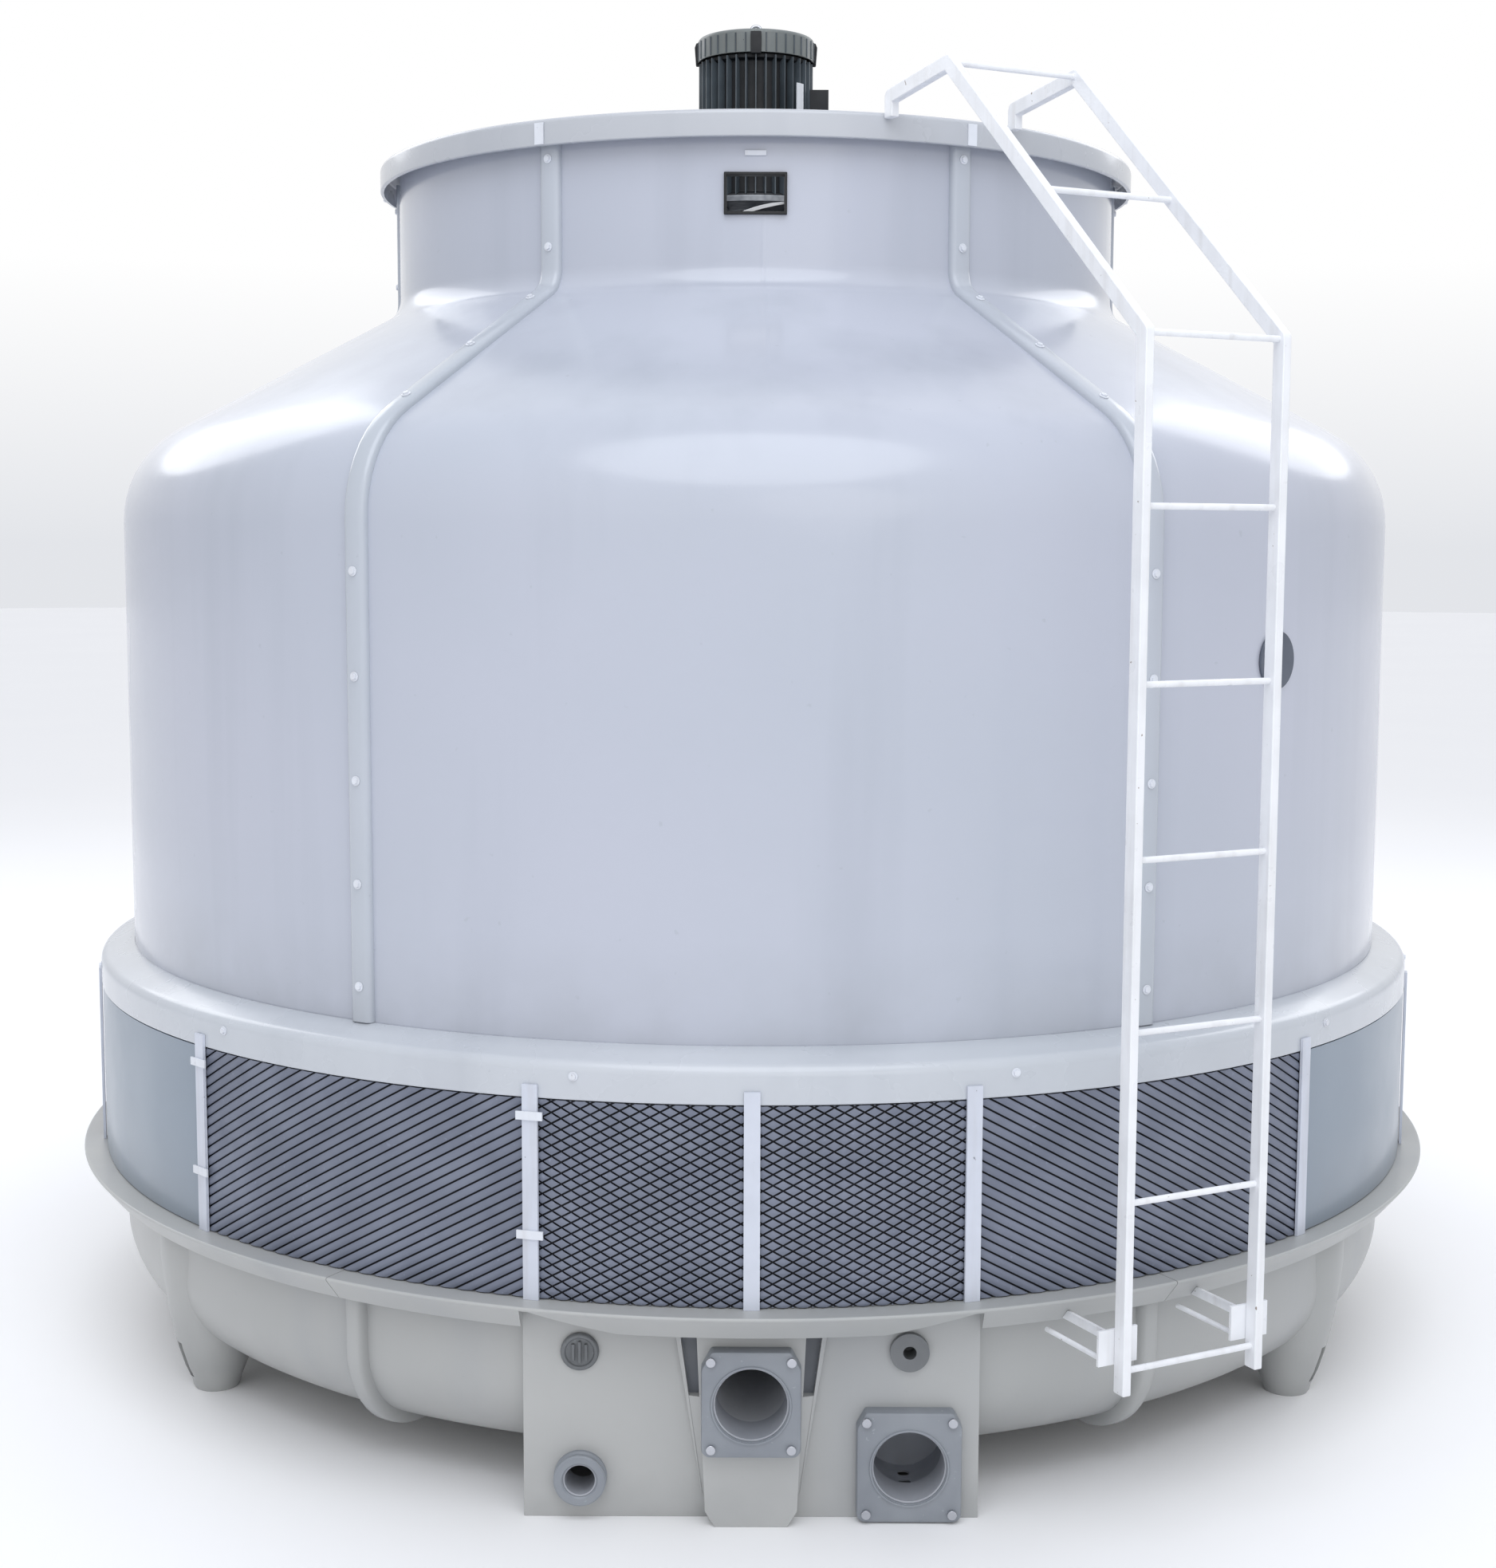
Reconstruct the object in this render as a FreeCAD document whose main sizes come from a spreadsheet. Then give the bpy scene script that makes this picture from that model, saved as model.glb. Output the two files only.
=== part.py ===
import FreeCAD, Part
import math
import os

import Sketcher

# Round, bottle-shaped counter-flow cooling tower.
# Frame: millimetres, +Z up, origin on the tower's axis at floor level.
# The sump, with the water connections, is at the front, -Y.
# Angles round the tower are counted from the front towards +X.

doc = FreeCAD.newDocument("cooling_tower")

SIZES = [
    # alias, value, what it is
    ("seat_gap", 0.3, "air between curved faces that seat on each other"),
    ("shaft_fit", 0.08, "radial clearance of a running shaft"),
    ("panel_count", 6, "casing panels, and basin segments, round the tower"),
    ("panel_wall", 8, "wall of the fibreglass casing"),
    ("casing_radius", 1500, "outside of the barrel"),
    ("casing_foot", 880, "height of the casing's lower edge"),
    ("barrel_height", 1132, "from the casing's foot to where barrel and cone would meet"),
    ("cone_slope", 28.5, "slope of the cone, in degrees from level"),
    ("shoulder_round", 240, "outside rounding between barrel and cone"),
    ("neck_round", 70, "outside rounding between cone and neck"),
    ("neck_radius", 856, "outside of the fan stack"),
    ("stack_height", 334, "the fan stack, from its corner with the cone"),
    ("strap_width", 50, "width of the strap over a casing joint"),
    ("strap_proud", 15, "height of the strap above the casing"),
    ("strap_bolt_radius", 7, "bolt head on a strap"),
    ("strap_bolt_height", 6, "bolt head on a strap"),
    ("strap_bolt_pitch", 212, "distance from bolt to bolt along a strap"),
    ("stack_rim_overhang", 44, "from the fan stack out to the edge of its ring"),
    ("rim_lip", 55, "height of the ring's outer lip"),
    ("rim_wall", 8, "wall of the ring on the stack"),
    ("window_width", 118, "clear width of the stack window"),
    ("window_height", 73, "clear height of the stack window"),
    ("window_frame_bar", 6, "bar of the window frame"),
    ("window_frame_depth", 16, "depth of the window frame"),
    ("window_drop", 154.7, "from the stack's top down to the window's middle"),
    ("port_radius", 59, "flange of the inspection port"),
    ("port_plug_radius", 50, "plug of the inspection port in its hole"),
    ("port_flange", 6, "thickness of the port's flange"),
    ("port_plug_depth", 9, "depth of the port's plug"),
    ("port_rise", 718, "from the casing's foot up to the inspection port"),
    ("port_angle", 44, "where the port sits, in degrees from the front"),
    ("skirt_overhang", 76, "from the casing out to the skirt's face"),
    ("skirt_lap", 25, "how far the skirt laps up over the casing's foot"),
    ("skirt_drop", 68, "from the casing's foot down to the skirt's lower edge"),
    ("skirt_ledge", 30, "how far the skirt reaches under the casing wall"),
    ("basin_overhang", 54, "from the skirt out to the edge of the basin's rim"),
    ("basin_rim_height", 430, "top of the basin's rim"),
    ("lip_height", 50, "height of the rim's sloping lip"),
    ("lip_slope_run", 41, "how far the lip draws in over its height"),
    ("basin_inset", 46, "from the skirt's face in to the basin's wall"),
    ("basin_wall", 8, "wall of the fibreglass basin"),
    ("pan_foot", 85, "underside of the pan"),
    ("pan_round", 180, "outside rounding between wall and pan"),
    ("rib_proud", 25, "how far a joint rib stands out of the basin"),
    ("rib_flange", 18, "thickness of one segment's half of a joint rib"),
    ("rib_reach", 230, "how far a joint rib runs in under the pan"),
    ("leg_inset", 90, "from the basin's wall in to the circle of the legs"),
    ("leg_angle", 54, "front and rear legs, in degrees off the centre plane"),
    ("leg_foot_radius", 50, "radius of a leg at the floor"),
    ("leg_waist_radius", 80, "radius of a leg at its waist"),
    ("leg_waist_height", 90, "height of a leg's waist"),
    ("leg_top_radius", 88, "radius of a leg at its top"),
    ("leg_top_height", 200, "height to which a leg's cone would reach"),
    ("leg_wall", 8, "wall of a leg"),
    ("leg_sole", 12, "thickness of a leg's sole"),
    ("anchor_hole_radius", 9, "hole for an M16 anchor bolt"),
    ("leg_slot_width", 18, "slot for reaching the anchor bolt"),
    ("leg_slot_height", 60, "slot for reaching the anchor bolt"),
    ("sump_half_width", 428, "half the width of the sump box"),
    ("sump_inset", 30, "from the basin's wall in to the sump's face"),
    ("sump_depth", 450, "the sump box from front to back"),
    ("sump_wall", 12, "wall of the sump box"),
    ("column_proud", 45, "how far the middle column stands out of the sump"),
    ("column_top_half", 104, "half width of the column at its top"),
    ("column_low_half", 86, "half width of the column near the floor"),
    ("column_foot_half", 68, "half width of the column at the floor"),
    ("column_chamfer", 30, "height of the chamfer at the column's foot"),
    ("pipe_bore", 70, "bore radius of the 140 mm pipe sockets"),
    ("pipe_wall", 5, "wall of the inlet pipe"),
    ("elbow_neck", 20, "straight end of the elbow, above its bend"),
    ("socket_relief", 2, "how much wider the sump's hole is than a socket's bore"),
    ("inlet_width", 185, "inlet plate"),
    ("inlet_height", 203, "inlet plate"),
    ("inlet_centre", 247, "height of the inlet's axis"),
    ("outlet_width", 197, "outlet plate"),
    ("outlet_height", 214, "outlet plate"),
    ("outlet_centre", 109, "height of the outlet's axis"),
    ("outlet_offset", 296, "how far the outlet is right of the centre plane"),
    ("plate_thickness", 30, "inlet and outlet plates"),
    ("plate_bolt_inset", 18, "plate bolt, from both edges of its corner"),
    ("plate_bolt_radius", 9, "plate bolt head"),
    ("plate_bolt_head", 7, "height of a plate bolt head"),
    ("port_row_offset", 321, "how far drain and overflow are left of the middle"),
    ("drain_centre", 80, "height of the drain's axis"),
    ("drain_outer", 50, "outside radius of the drain socket"),
    ("drain_bore", 31.5, "bore radius of the drain socket, for 63 mm pipe"),
    ("drain_proud", 28, "how far the drain socket stands out"),
    ("overflow_centre", 323, "height of the overflow's axis"),
    ("overflow_radius", 36, "rim of the overflow plug"),
    ("overflow_spigot", 28, "radius of the plug's spigot"),
    ("overflow_flange", 12, "thickness of the plug's rim"),
    ("overflow_depth", 26, "length of the plug's spigot"),
    ("makeup_centre", 325, "height of the make-up water connection"),
    ("makeup_radius", 37, "flange of the make-up valve"),
    ("makeup_bore", 12.5, "bore radius of the make-up connection"),
    ("makeup_flange", 12, "thickness of the make-up valve's flange"),
    ("makeup_neck", 20, "neck of the make-up valve through the sump's wall"),
    ("makeup_block", 50, "side of the valve's body inside the sump"),
    ("float_pin_radius", 4, "pin that carries the float's arm"),
    ("float_arm_length", 250, "from the float's pin to the ball's middle"),
    ("float_arm_radius", 5, "rod of the float"),
    ("float_ball_radius", 60, "ball of the float"),
    ("strainer_radius", 84, "outside of the suction strainer"),
    ("strainer_wall", 3, "wall of the suction strainer"),
    ("strainer_length", 165, "length of the suction strainer"),
    ("strainer_hole", 12, "radius of a hole in the strainer"),
    ("screen_depth", 12, "depth of an air-inlet screen"),
    ("screen_span", 30, "angle from post to post, in degrees"),
    ("screen_edge_gap", 0.15, "gap at each end of a screen, in degrees"),
    ("post_width", 30, "air-inlet post"),
    ("post_thickness", 6, "air-inlet post"),
    ("post_lap", 26, "how far a post laps over the skirt"),
    ("clip_length", 52, "turn-clip on a post"),
    ("clip_width", 16, "turn-clip on a post"),
    ("clip_thickness", 4, "turn-clip on a post"),
    ("clip_pin_radius", 3, "pin of a turn-clip"),
    ("clip_drop", 32, "from the skirt's lower edge down to the upper turn-clips"),
    ("clip_rise", 125, "from the basin's rim up to the lower turn-clips"),
    ("stay_radius", 12, "tube that carries the casing behind the screens"),
    ("stay_inset", 28, "from the skirt's face in to the circle of the stays"),
    ("ladder_angle", 27, "where the ladder stands, in degrees from the front"),
    ("ladder_stand_off", 140, "from the basin's rim out to the ladder's plane"),
    ("ladder_half_gauge", 150, "from the ladder's middle to a rail's middle"),
    ("rail_width", 18, "rail, across the ladder"),
    ("rail_depth", 30, "rail, front to back"),
    ("rail_foot", 300, "lower end of the rails"),
    ("bend_rise", 178, "from the casing's shoulder up to where the rails lean in"),
    ("rail_apex_reach", 225, "from the stack's ring out to the top of the rails"),
    ("apex_rise", 63, "from the stack's top up to the rails' top"),
    ("hook_lap", 14, "how far the hooks reach down past the rim's top"),
    ("hook_rise", 36, "from the stack's top up to where the hooks turn down"),
    ("rung_radius", 6, "ladder rung"),
    ("rung_first", 343, "height of the lowest rung"),
    ("rung_pitch", 310, "height from rung to rung"),
    ("rung_count", 6, "rungs on the upright part of the ladder"),
    ("bracket_width", 85, "plate of the ladder's lower bracket"),
    ("bracket_height", 66, "plate of the ladder's lower bracket"),
    ("bracket_plate", 6, "thickness of the ladder's lower bracket"),
    ("bracket_middle", 385, "height of the lower brackets"),
    ("bracket_stay_radius", 5, "stay rod of a lower bracket"),
    ("motor_radius", 118, "motor frame without its fins"),
    ("motor_fin_radius", 138, "tips of the motor's fins"),
    ("motor_fin_count", 36, "fins round the motor"),
    ("motor_fin_width", 5, "thickness of a fin"),
    ("motor_sunk", 55.7, "how far the motor's foot lies below the stack's top"),
    ("motor_body_height", 338, "motor frame"),
    ("cowl_height", 55, "fan cowl on top of the motor"),
    ("cowl_radius", 140, "fan cowl on top of the motor"),
    ("cowl_wall", 3, "sheet of the fan cowl"),
    ("eye_ring_radius", 13, "lifting eye, to the middle of its ring"),
    ("eye_bar_radius", 4, "bar of the lifting eye"),
    ("terminal_width", 90, "terminal box, along the motor's side"),
    ("terminal_height", 120, "terminal box"),
    ("terminal_depth", 56, "terminal box, out from the motor's frame"),
    ("terminal_rise", 150, "from the motor's foot up to the terminal box"),
    ("gland_radius", 14, "cable gland under the terminal box"),
    ("gland_length", 22, "cable gland under the terminal box"),
    ("mount_radius", 200, "plate that carries the motor"),
    ("mount_thickness", 15, "plate that carries the motor"),
    ("mount_bore", 60, "hole in the plate for the motor's shaft"),
    ("arm_count", 4, "support arms of the motor"),
    ("arm_width", 50, "support arm of the motor"),
    ("arm_inner_radius", 110, "inner end of a support arm"),
    ("shaft_radius", 19, "motor shaft"),
    ("shaft_tail", 4, "how far the shaft shows under the hub"),
    ("cooling_fan_radius", 118, "fan under the motor's cowl"),
    ("cooling_fan_height", 24, "fan under the motor's cowl"),
    ("cooling_vane_count", 6, "vanes of the fan under the cowl"),
    ("cooling_vane_thickness", 4, "vane of the fan under the cowl"),
    ("hub_radius", 80, "fan hub"),
    ("hub_height", 84, "fan hub"),
    ("hub_drop", 184, "from the motor's foot down to the hub's underside"),
    ("blade_count", 4, "fan blades"),
    ("blade_root_chord", 150, "width of a blade at its root"),
    ("blade_tip_chord", 200, "width of a blade at its tip"),
    ("blade_root_pitch", 32, "pitch of a blade at its root, in degrees"),
    ("blade_tip_pitch", 17, "pitch of a blade at its tip, in degrees"),
    ("blade_root_thickness", 16, "blade at its root"),
    ("blade_tip_thickness", 7, "blade at its tip"),
    ("blade_root_radius", 130, "where a blade's shank ends"),
    ("blade_tip_gap", 16, "from a blade's tip to the stack"),
    ("blade_shank_radius", 20, "round shank of a blade"),
    ("riser_rise", 76, "from the upper fill to the riser's end"),
    ("spindle_radius", 30, "spindle on which the sprinkler turns"),
    ("spindle_height", 100, "spindle on which the sprinkler turns"),
    ("head_radius", 92, "sprinkler head"),
    ("head_height", 110, "sprinkler head"),
    ("head_lift", 4, "air under the turning sprinkler head"),
    ("sprinkler_arm_count", 4, "arms of the sprinkler"),
    ("sprinkler_arm_radius", 25, "arm of the sprinkler"),
    ("sprinkler_edge_gap", 102, "from an arm's end to the casing's wall"),
    ("sprinkler_hole_radius", 5, "spray hole in an arm"),
    ("sprinkler_hole_pitch", 120, "distance between spray holes"),
    ("fill_lift", 50, "from the casing's foot up to the lower fill"),
    ("fill_block_height", 400, "height of one layer of fill"),
    ("fill_joint", 0.3, "air between the two layers of fill, one resting on the other"),
    ("fill_sheet", 4, "thickness of one turn of fill sheet"),
    ("fill_ring_count", 11, "turns of fill sheet in one layer"),
    ("fill_spokes", 6, "stiffening sheets across one layer"),
    ("fill_inner_radius", 95, "hole in the fill for the riser"),
    ("fill_edge_gap", 5, "from the fill to the casing"),
    ("grid_depth", 30, "height of the grid under the fill"),
    ("grid_bar", 12, "width of a bar of the grid"),
    ("grid_leg_radius", 20, "leg under the fill's grid"),
    ("grid_leg_ring", 950, "circle on which the grid's legs stand"),
]

sheet = doc.addObject("Spreadsheet::Sheet", "Sizes")
for row, (alias, value, note) in enumerate(SIZES, start=1):
    sheet.set("A%d" % row, alias)
    sheet.set("B%d" % row, repr(value))
    sheet.setAlias("B%d" % row, alias)
    sheet.set("C%d" % row, note)
doc.recompute()


class Size:
    """A number that also carries the sheet expression that gives it."""

    def __init__(self, text, value):
        self.text = text
        self.value = value

    def __add__(self, other):
        return Size("(%s + %s)" % (self.text, text_of(other)), self.value + value_of(other))

    def __radd__(self, other):
        return self + other

    def __neg__(self):
        return Size("(0 - %s)" % self.text, -self.value)

    def __sub__(self, other):
        return Size("(%s - %s)" % (self.text, text_of(other)), self.value - value_of(other))

    def __rsub__(self, other):
        return -self + other

    def __mul__(self, other):
        return Size("(%s * %s)" % (self.text, text_of(other)), self.value * value_of(other))

    def __rmul__(self, other):
        return self * other

    def __truediv__(self, other):
        return Size("(%s / %s)" % (self.text, text_of(other)), self.value / value_of(other))

    def __rtruediv__(self, other):
        return Size("(%s / %s)" % (text_of(other), self.text), value_of(other) / self.value)


def text_of(number):
    return number.text if isinstance(number, Size) else repr(float(number))


def value_of(number):
    return number.value if isinstance(number, Size) else float(number)


def cell(alias):
    return Size("Sizes." + alias, float(sheet.get(alias)))


def sine(angle):
    return Size("sin(%s)" % angle.text, math.sin(math.radians(angle.value)))


def cosine(angle):
    return Size("cos(%s)" % angle.text, math.cos(math.radians(angle.value)))


def tangent(angle):
    return Size("tan(%s)" % angle.text, math.tan(math.radians(angle.value)))


def bind(thing, prop, size):
    """Ties one property of a document object to the sheet."""
    if isinstance(size, Size):
        thing.setExpression(prop, size.text)


X_AXIS = FreeCAD.Vector(1, 0, 0)
Y_AXIS = FreeCAD.Vector(0, 1, 0)
Z_AXIS = FreeCAD.Vector(0, 0, 1)


def place(thing, at=(0, 0, 0), axis=Z_AXIS, turn=0):
    """Moves an object to a point and turns it about an axis, both tied to the sheet."""
    base = FreeCAD.Vector(*[value_of(number) for number in at])
    thing.Placement = FreeCAD.Placement(base, FreeCAD.Rotation(axis, value_of(turn)))
    for letter, number in zip("xyz", at):
        bind(thing, "Placement.Base." + letter, number)
    bind(thing, "Placement.Rotation.Angle", turn)
    return thing


def box(name, low, high, **where):
    """A block between two corners."""
    block = doc.addObject("Part::Box", name)
    for prop, start, end in zip(("Length", "Width", "Height"), low, high):
        setattr(block, prop, value_of(end) - value_of(start))
        if isinstance(start, Size) or isinstance(end, Size):
            block.setExpression(prop, "%s - %s" % (text_of(end), text_of(start)))
    return place(block, at=low, **where)


def cylinder(name, radius, height, at=(0, 0, 0), axis=Z_AXIS, turn=0, sweep=360):
    """A round bar that stands on a point, along Z until it is turned."""
    bar = doc.addObject("Part::Cylinder", name)
    for prop, number in (("Radius", radius), ("Height", height), ("Angle", sweep)):
        setattr(bar, prop, value_of(number))
        bind(bar, prop, number)
    return place(bar, at=at, axis=axis, turn=turn)


def bar_forward(name, radius, length, at):
    """A round bar that starts at a point and runs forward, along -Y."""
    return cylinder(name, radius, length, at=at, axis=X_AXIS, turn=90)


def cut(name, base, tool):
    result = doc.addObject("Part::Cut", name)
    result.Base = base
    result.Tool = tool
    return result


def common(name, base, tool):
    result = doc.addObject("Part::Common", name)
    result.Base = base
    result.Tool = tool
    return result


def fuse(name, pieces):
    result = doc.addObject("Part::MultiFuse", name)
    result.Shapes = pieces
    return result


def group(name, pieces):
    result = doc.addObject("Part::Compound", name)
    result.Links = pieces
    return result


def origin_plane(body, role):
    return [plane for plane in body.Origin.OriginFeatures if plane.Role == role][0]


def sketch_on(body, name, role="XZ_Plane", lift=0, swing=0):
    """A sketch on one of the body's own planes, lifted off it or swung about Z."""
    sketch = body.newObject("Sketcher::SketchObject", name)
    sketch.AttachmentSupport = (origin_plane(body, role), [""])
    sketch.MapMode = "FlatFace"
    base = FreeCAD.Vector(0, 0, value_of(lift))
    sketch.AttachmentOffset = FreeCAD.Placement(base, FreeCAD.Rotation(Y_AXIS, value_of(swing)))
    bind(sketch, "AttachmentOffset.Base.z", lift)
    bind(sketch, "AttachmentOffset.Rotation.Angle", swing)
    return sketch


SKETCH_ORIGIN = (-1, 1)
SKETCH_AXES = {"DistanceX": -2, "DistanceY": -1}


def arc_points(before, corner, after, radius):
    """Start, middle and end of the arc that rounds a corner."""
    back = (before - corner).normalize()
    ahead = (after - corner).normalize()
    half = back.getAngle(ahead) / 2
    reach = radius / math.tan(half)
    middle_line = (back + ahead).normalize()
    middle = corner + middle_line * (radius / math.sin(half) - radius)
    return corner + back * reach, middle, corner + ahead * reach


def fix_point(sketch, index, end, corner):
    """Ties a point of the sketch to x and y from the sketch's origin."""
    for kind, number in zip(("DistanceX", "DistanceY"), corner):
        if value_of(number) == 0:
            axis = SKETCH_AXES[kind]
            sketch.addConstraint(Sketcher.Constraint("PointOnObject", index, end, axis))
            continue
        rule = Sketcher.Constraint(kind, *SKETCH_ORIGIN, index, end, value_of(number))
        bind(sketch, "Constraints[%d]" % sketch.addConstraint(rule), number)


def round_corner(sketch, corner, arc, line_in, line_out):
    """Ties an arc between two lines to the sharp corner that it rounds."""
    start, middle, end = arc
    index = sketch.addGeometry(Part.Arc(start, middle, end), False)
    first = 1 if (sketch.getPoint(index, 1) - start).Length < 1e-6 else 2
    sharp = sketch.addGeometry(Part.Point(FreeCAD.Vector(*map(value_of, corner[:2]), 0)), True)
    fix_point(sketch, sharp, 1, corner[:2])
    sketch.addConstraint([
        Sketcher.Constraint("PointOnObject", sharp, 1, line_in),
        Sketcher.Constraint("PointOnObject", sharp, 1, line_out),
        Sketcher.Constraint("Tangent", line_in, 2, index, first),
        Sketcher.Constraint("Tangent", index, 3 - first, line_out, 1),
    ])
    rule = sketch.addConstraint(Sketcher.Constraint("Radius", index, value_of(corner[2])))
    bind(sketch, "Constraints[%d]" % rule, corner[2])


def draw_outline(sketch, corners):
    """Draws a closed outline tied to the sheet; a corner is x, y and, if rounded, a radius."""
    points = [FreeCAD.Vector(value_of(corner[0]), value_of(corner[1]), 0) for corner in corners]
    count = len(points)
    arcs = {}
    for index, corner in enumerate(corners):
        if len(corner) == 3:
            after = points[(index + 1) % count]
            arcs[index] = arc_points(points[index - 1], points[index], after, value_of(corner[2]))
    for index in range(count):
        after = (index + 1) % count
        start = arcs[index][2] if index in arcs else points[index]
        end = arcs[after][0] if after in arcs else points[after]
        sketch.addGeometry(Part.LineSegment(start, end), False)
    for index, corner in enumerate(corners):
        before = (index - 1) % count
        if index in arcs:
            round_corner(sketch, corner, arcs[index], before, index)
        else:
            sketch.addConstraint(Sketcher.Constraint("Coincident", before, 2, index, 1))
            fix_point(sketch, index, 1, corner)


def turned_body(name, corners, sweep=360):
    """A body turned about the axis; a sweep under 360 degrees is centred on +X."""
    body = doc.addObject("PartDesign::Body", name)
    sketch = sketch_on(body, name + "_outline")
    draw_outline(sketch, corners)
    turned = body.newObject("PartDesign::Revolution", name + "_turned")
    turned.Profile = sketch
    turned.ReferenceAxis = (sketch, ["V_Axis"])
    turned.Angle = value_of(sweep)
    bind(turned, "Angle", sweep)
    turned.Midplane = value_of(sweep) < 360
    doc.recompute()
    return body


def padded_body(name, corners, depth, role="XZ_Plane", lift=0, midplane=False):
    """A body padded from an outline; on the XZ plane it grows forward, along -Y."""
    body = doc.addObject("PartDesign::Body", name)
    sketch = sketch_on(body, name + "_outline", role, lift)
    draw_outline(sketch, corners)
    pad = body.newObject("PartDesign::Pad", name + "_pad")
    pad.Profile = sketch
    pad.Length = value_of(depth)
    bind(pad, "Length", depth)
    pad.Midplane = midplane
    doc.recompute()
    return body


def computed(name, shape):
    """A piece whose shape is worked out in code from the sheet's sizes."""
    feature = doc.addObject("Part::Feature", name)
    feature.Shape = shape
    return feature


FINISHED = []


def finish(node, thing):
    """Names a finished sub-part; the name is also the name of its file."""
    thing.Label = node
    FINISHED.append(thing)
    return thing


seat_gap = cell("seat_gap")
shaft_fit = cell("shaft_fit")
PANELS = int(cell("panel_count").value)
panel_span = 360 / cell("panel_count")
FRONT = -90     # a piece made along +X is swung by this to face forward
BEYOND = 50     # how far a cutting tool runs past the faces that it cuts


# ------------------------------------------- places that follow from the sizes

ZERO = Size("0", 0.0)
casing_radius = cell("casing_radius")
casing_foot = cell("casing_foot")
neck_radius = cell("neck_radius")
panel_wall = cell("panel_wall")
cone_slope = cell("cone_slope")
shoulder_height = casing_foot + cell("barrel_height")
neck_height = shoulder_height + (casing_radius - neck_radius) * tangent(cone_slope)
stack_top = neck_height + cell("stack_height")
rim_radius = neck_radius + cell("stack_rim_overhang")
skirt_radius = casing_radius + cell("skirt_overhang")
skirt_top = casing_foot + cell("skirt_lap")
skirt_foot = casing_foot - cell("skirt_drop")
basin_wall = cell("basin_wall")
basin_rim_radius = skirt_radius + cell("basin_overhang")
basin_wall_radius = skirt_radius - cell("basin_inset")
rim_height = cell("basin_rim_height")
rib_inner_radius = basin_wall_radius - cell("rib_reach")
leg_ring_radius = basin_wall_radius - cell("leg_inset")
pan_foot = cell("pan_foot")
pan_round = cell("pan_round")
pan_floor = pan_foot + basin_wall
sump_front = basin_wall_radius - cell("sump_inset")
sump_back = sump_front - cell("sump_depth")
sump_half_width = cell("sump_half_width")
sump_wall = cell("sump_wall")
sump_top = rim_height - basin_wall - seat_gap
stay_ring_radius = skirt_radius - cell("stay_inset")
ladder_radius = basin_rim_radius + cell("ladder_stand_off")
rail_bend = shoulder_height + cell("bend_rise")
rail_apex_radius = rim_radius + cell("rail_apex_reach")
rail_apex = stack_top + cell("apex_rise")
hook_height = stack_top + cell("hook_rise")
port_height = casing_foot + cell("port_rise")
window_middle = stack_top - cell("window_drop")
clip_high = skirt_foot - cell("clip_drop")
clip_low = rim_height + cell("clip_rise")
motor_foot = stack_top - cell("motor_sunk")
terminal_foot = motor_foot + cell("terminal_rise")
hub_foot = motor_foot - cell("hub_drop")
shaft_foot = hub_foot - cell("shaft_tail")
fill_foot = casing_foot + cell("fill_lift")
fill_step = cell("fill_block_height") + cell("fill_joint")
riser_top = fill_foot + fill_step + cell("fill_block_height") + cell("riser_rise")
sprinkler_reach = casing_radius - panel_wall - cell("sprinkler_edge_gap")


# ---------------------------------------------------------------- casing

corner_lift = (1 - sine(cone_slope)) / cosine(cone_slope)   # corner's rise per offset


def casing_path(offset, foot, top):
    """Corners of the casing's outline, moved out by an offset, from foot to top."""
    return [
        (casing_radius + offset, foot),
        (casing_radius + offset, shoulder_height + offset * corner_lift,
         cell("shoulder_round") + offset),
        (neck_radius + offset, neck_height + offset * corner_lift,
         cell("neck_round") - offset),
        (neck_radius + offset, top),
    ]


def casing_panel(index):
    """One panel of barrel, cone and neck in a single moulding."""
    outer = casing_path(ZERO, casing_foot, stack_top)
    inner = casing_path(-panel_wall, casing_foot, stack_top)
    panel = turned_body("panel_%d_moulding" % index, outer + inner[::-1], panel_span)
    return place(panel, turn=FRONT + (index - 1) * panel_span)


def window_box(name, margin, depth):
    """A block through the stack at the window, larger than it by a margin."""
    half_width = cell("window_width") / 2 + margin
    half_height = cell("window_height") / 2 + margin
    middle = window_middle
    back = -(neck_radius - depth)
    low = (-half_width, -(neck_radius + depth / 2), middle - half_height)
    high = (half_width, back, middle + half_height)
    return box(name, low, high)


def build_casing():
    frame_depth = cell("window_frame_depth")
    frame_bar = cell("window_frame_bar")
    port_hole = bar_forward(
        "port_hole", cell("port_plug_radius") + seat_gap, panel_wall + 2 * BEYOND,
        (0, -(casing_radius - panel_wall - BEYOND), port_height))
    port_hole = group("port_hole_turned", [port_hole])
    place(port_hole, turn=cell("port_angle"))
    for index in range(1, PANELS + 1):
        panel = casing_panel(index)
        if index == 1:
            hole = window_box("window_hole", frame_bar + seat_gap, frame_depth * 2)
            panel = cut("panel_with_window", panel, hole)
        elif index == 2:
            panel = cut("panel_with_port", panel, port_hole)
        finish("casing_panel_%d" % index, panel)

    outside = window_box("window_frame_outside", frame_bar, frame_depth)
    inside = window_box("window_frame_inside", ZERO, frame_depth * 2)
    finish("window_frame", cut("window_frame_bars", outside, inside))

    flange = bar_forward(
        "port_cover", cell("port_radius"), cell("port_flange"),
        (0, -(casing_radius + seat_gap), port_height))
    plug = bar_forward(
        "port_plug", cell("port_plug_radius"), cell("port_plug_depth"),
        (0, -(casing_radius + seat_gap - cell("port_plug_depth")), port_height))
    port = fuse("port_pieces", [flange, plug])
    place(port, turn=cell("port_angle"))
    finish("inspection_port", port)


def joint_angles():
    """Where the joints between panels are, in degrees from the front."""
    return [(index + 0.5) * panel_span for index in range(PANELS)]


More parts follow.
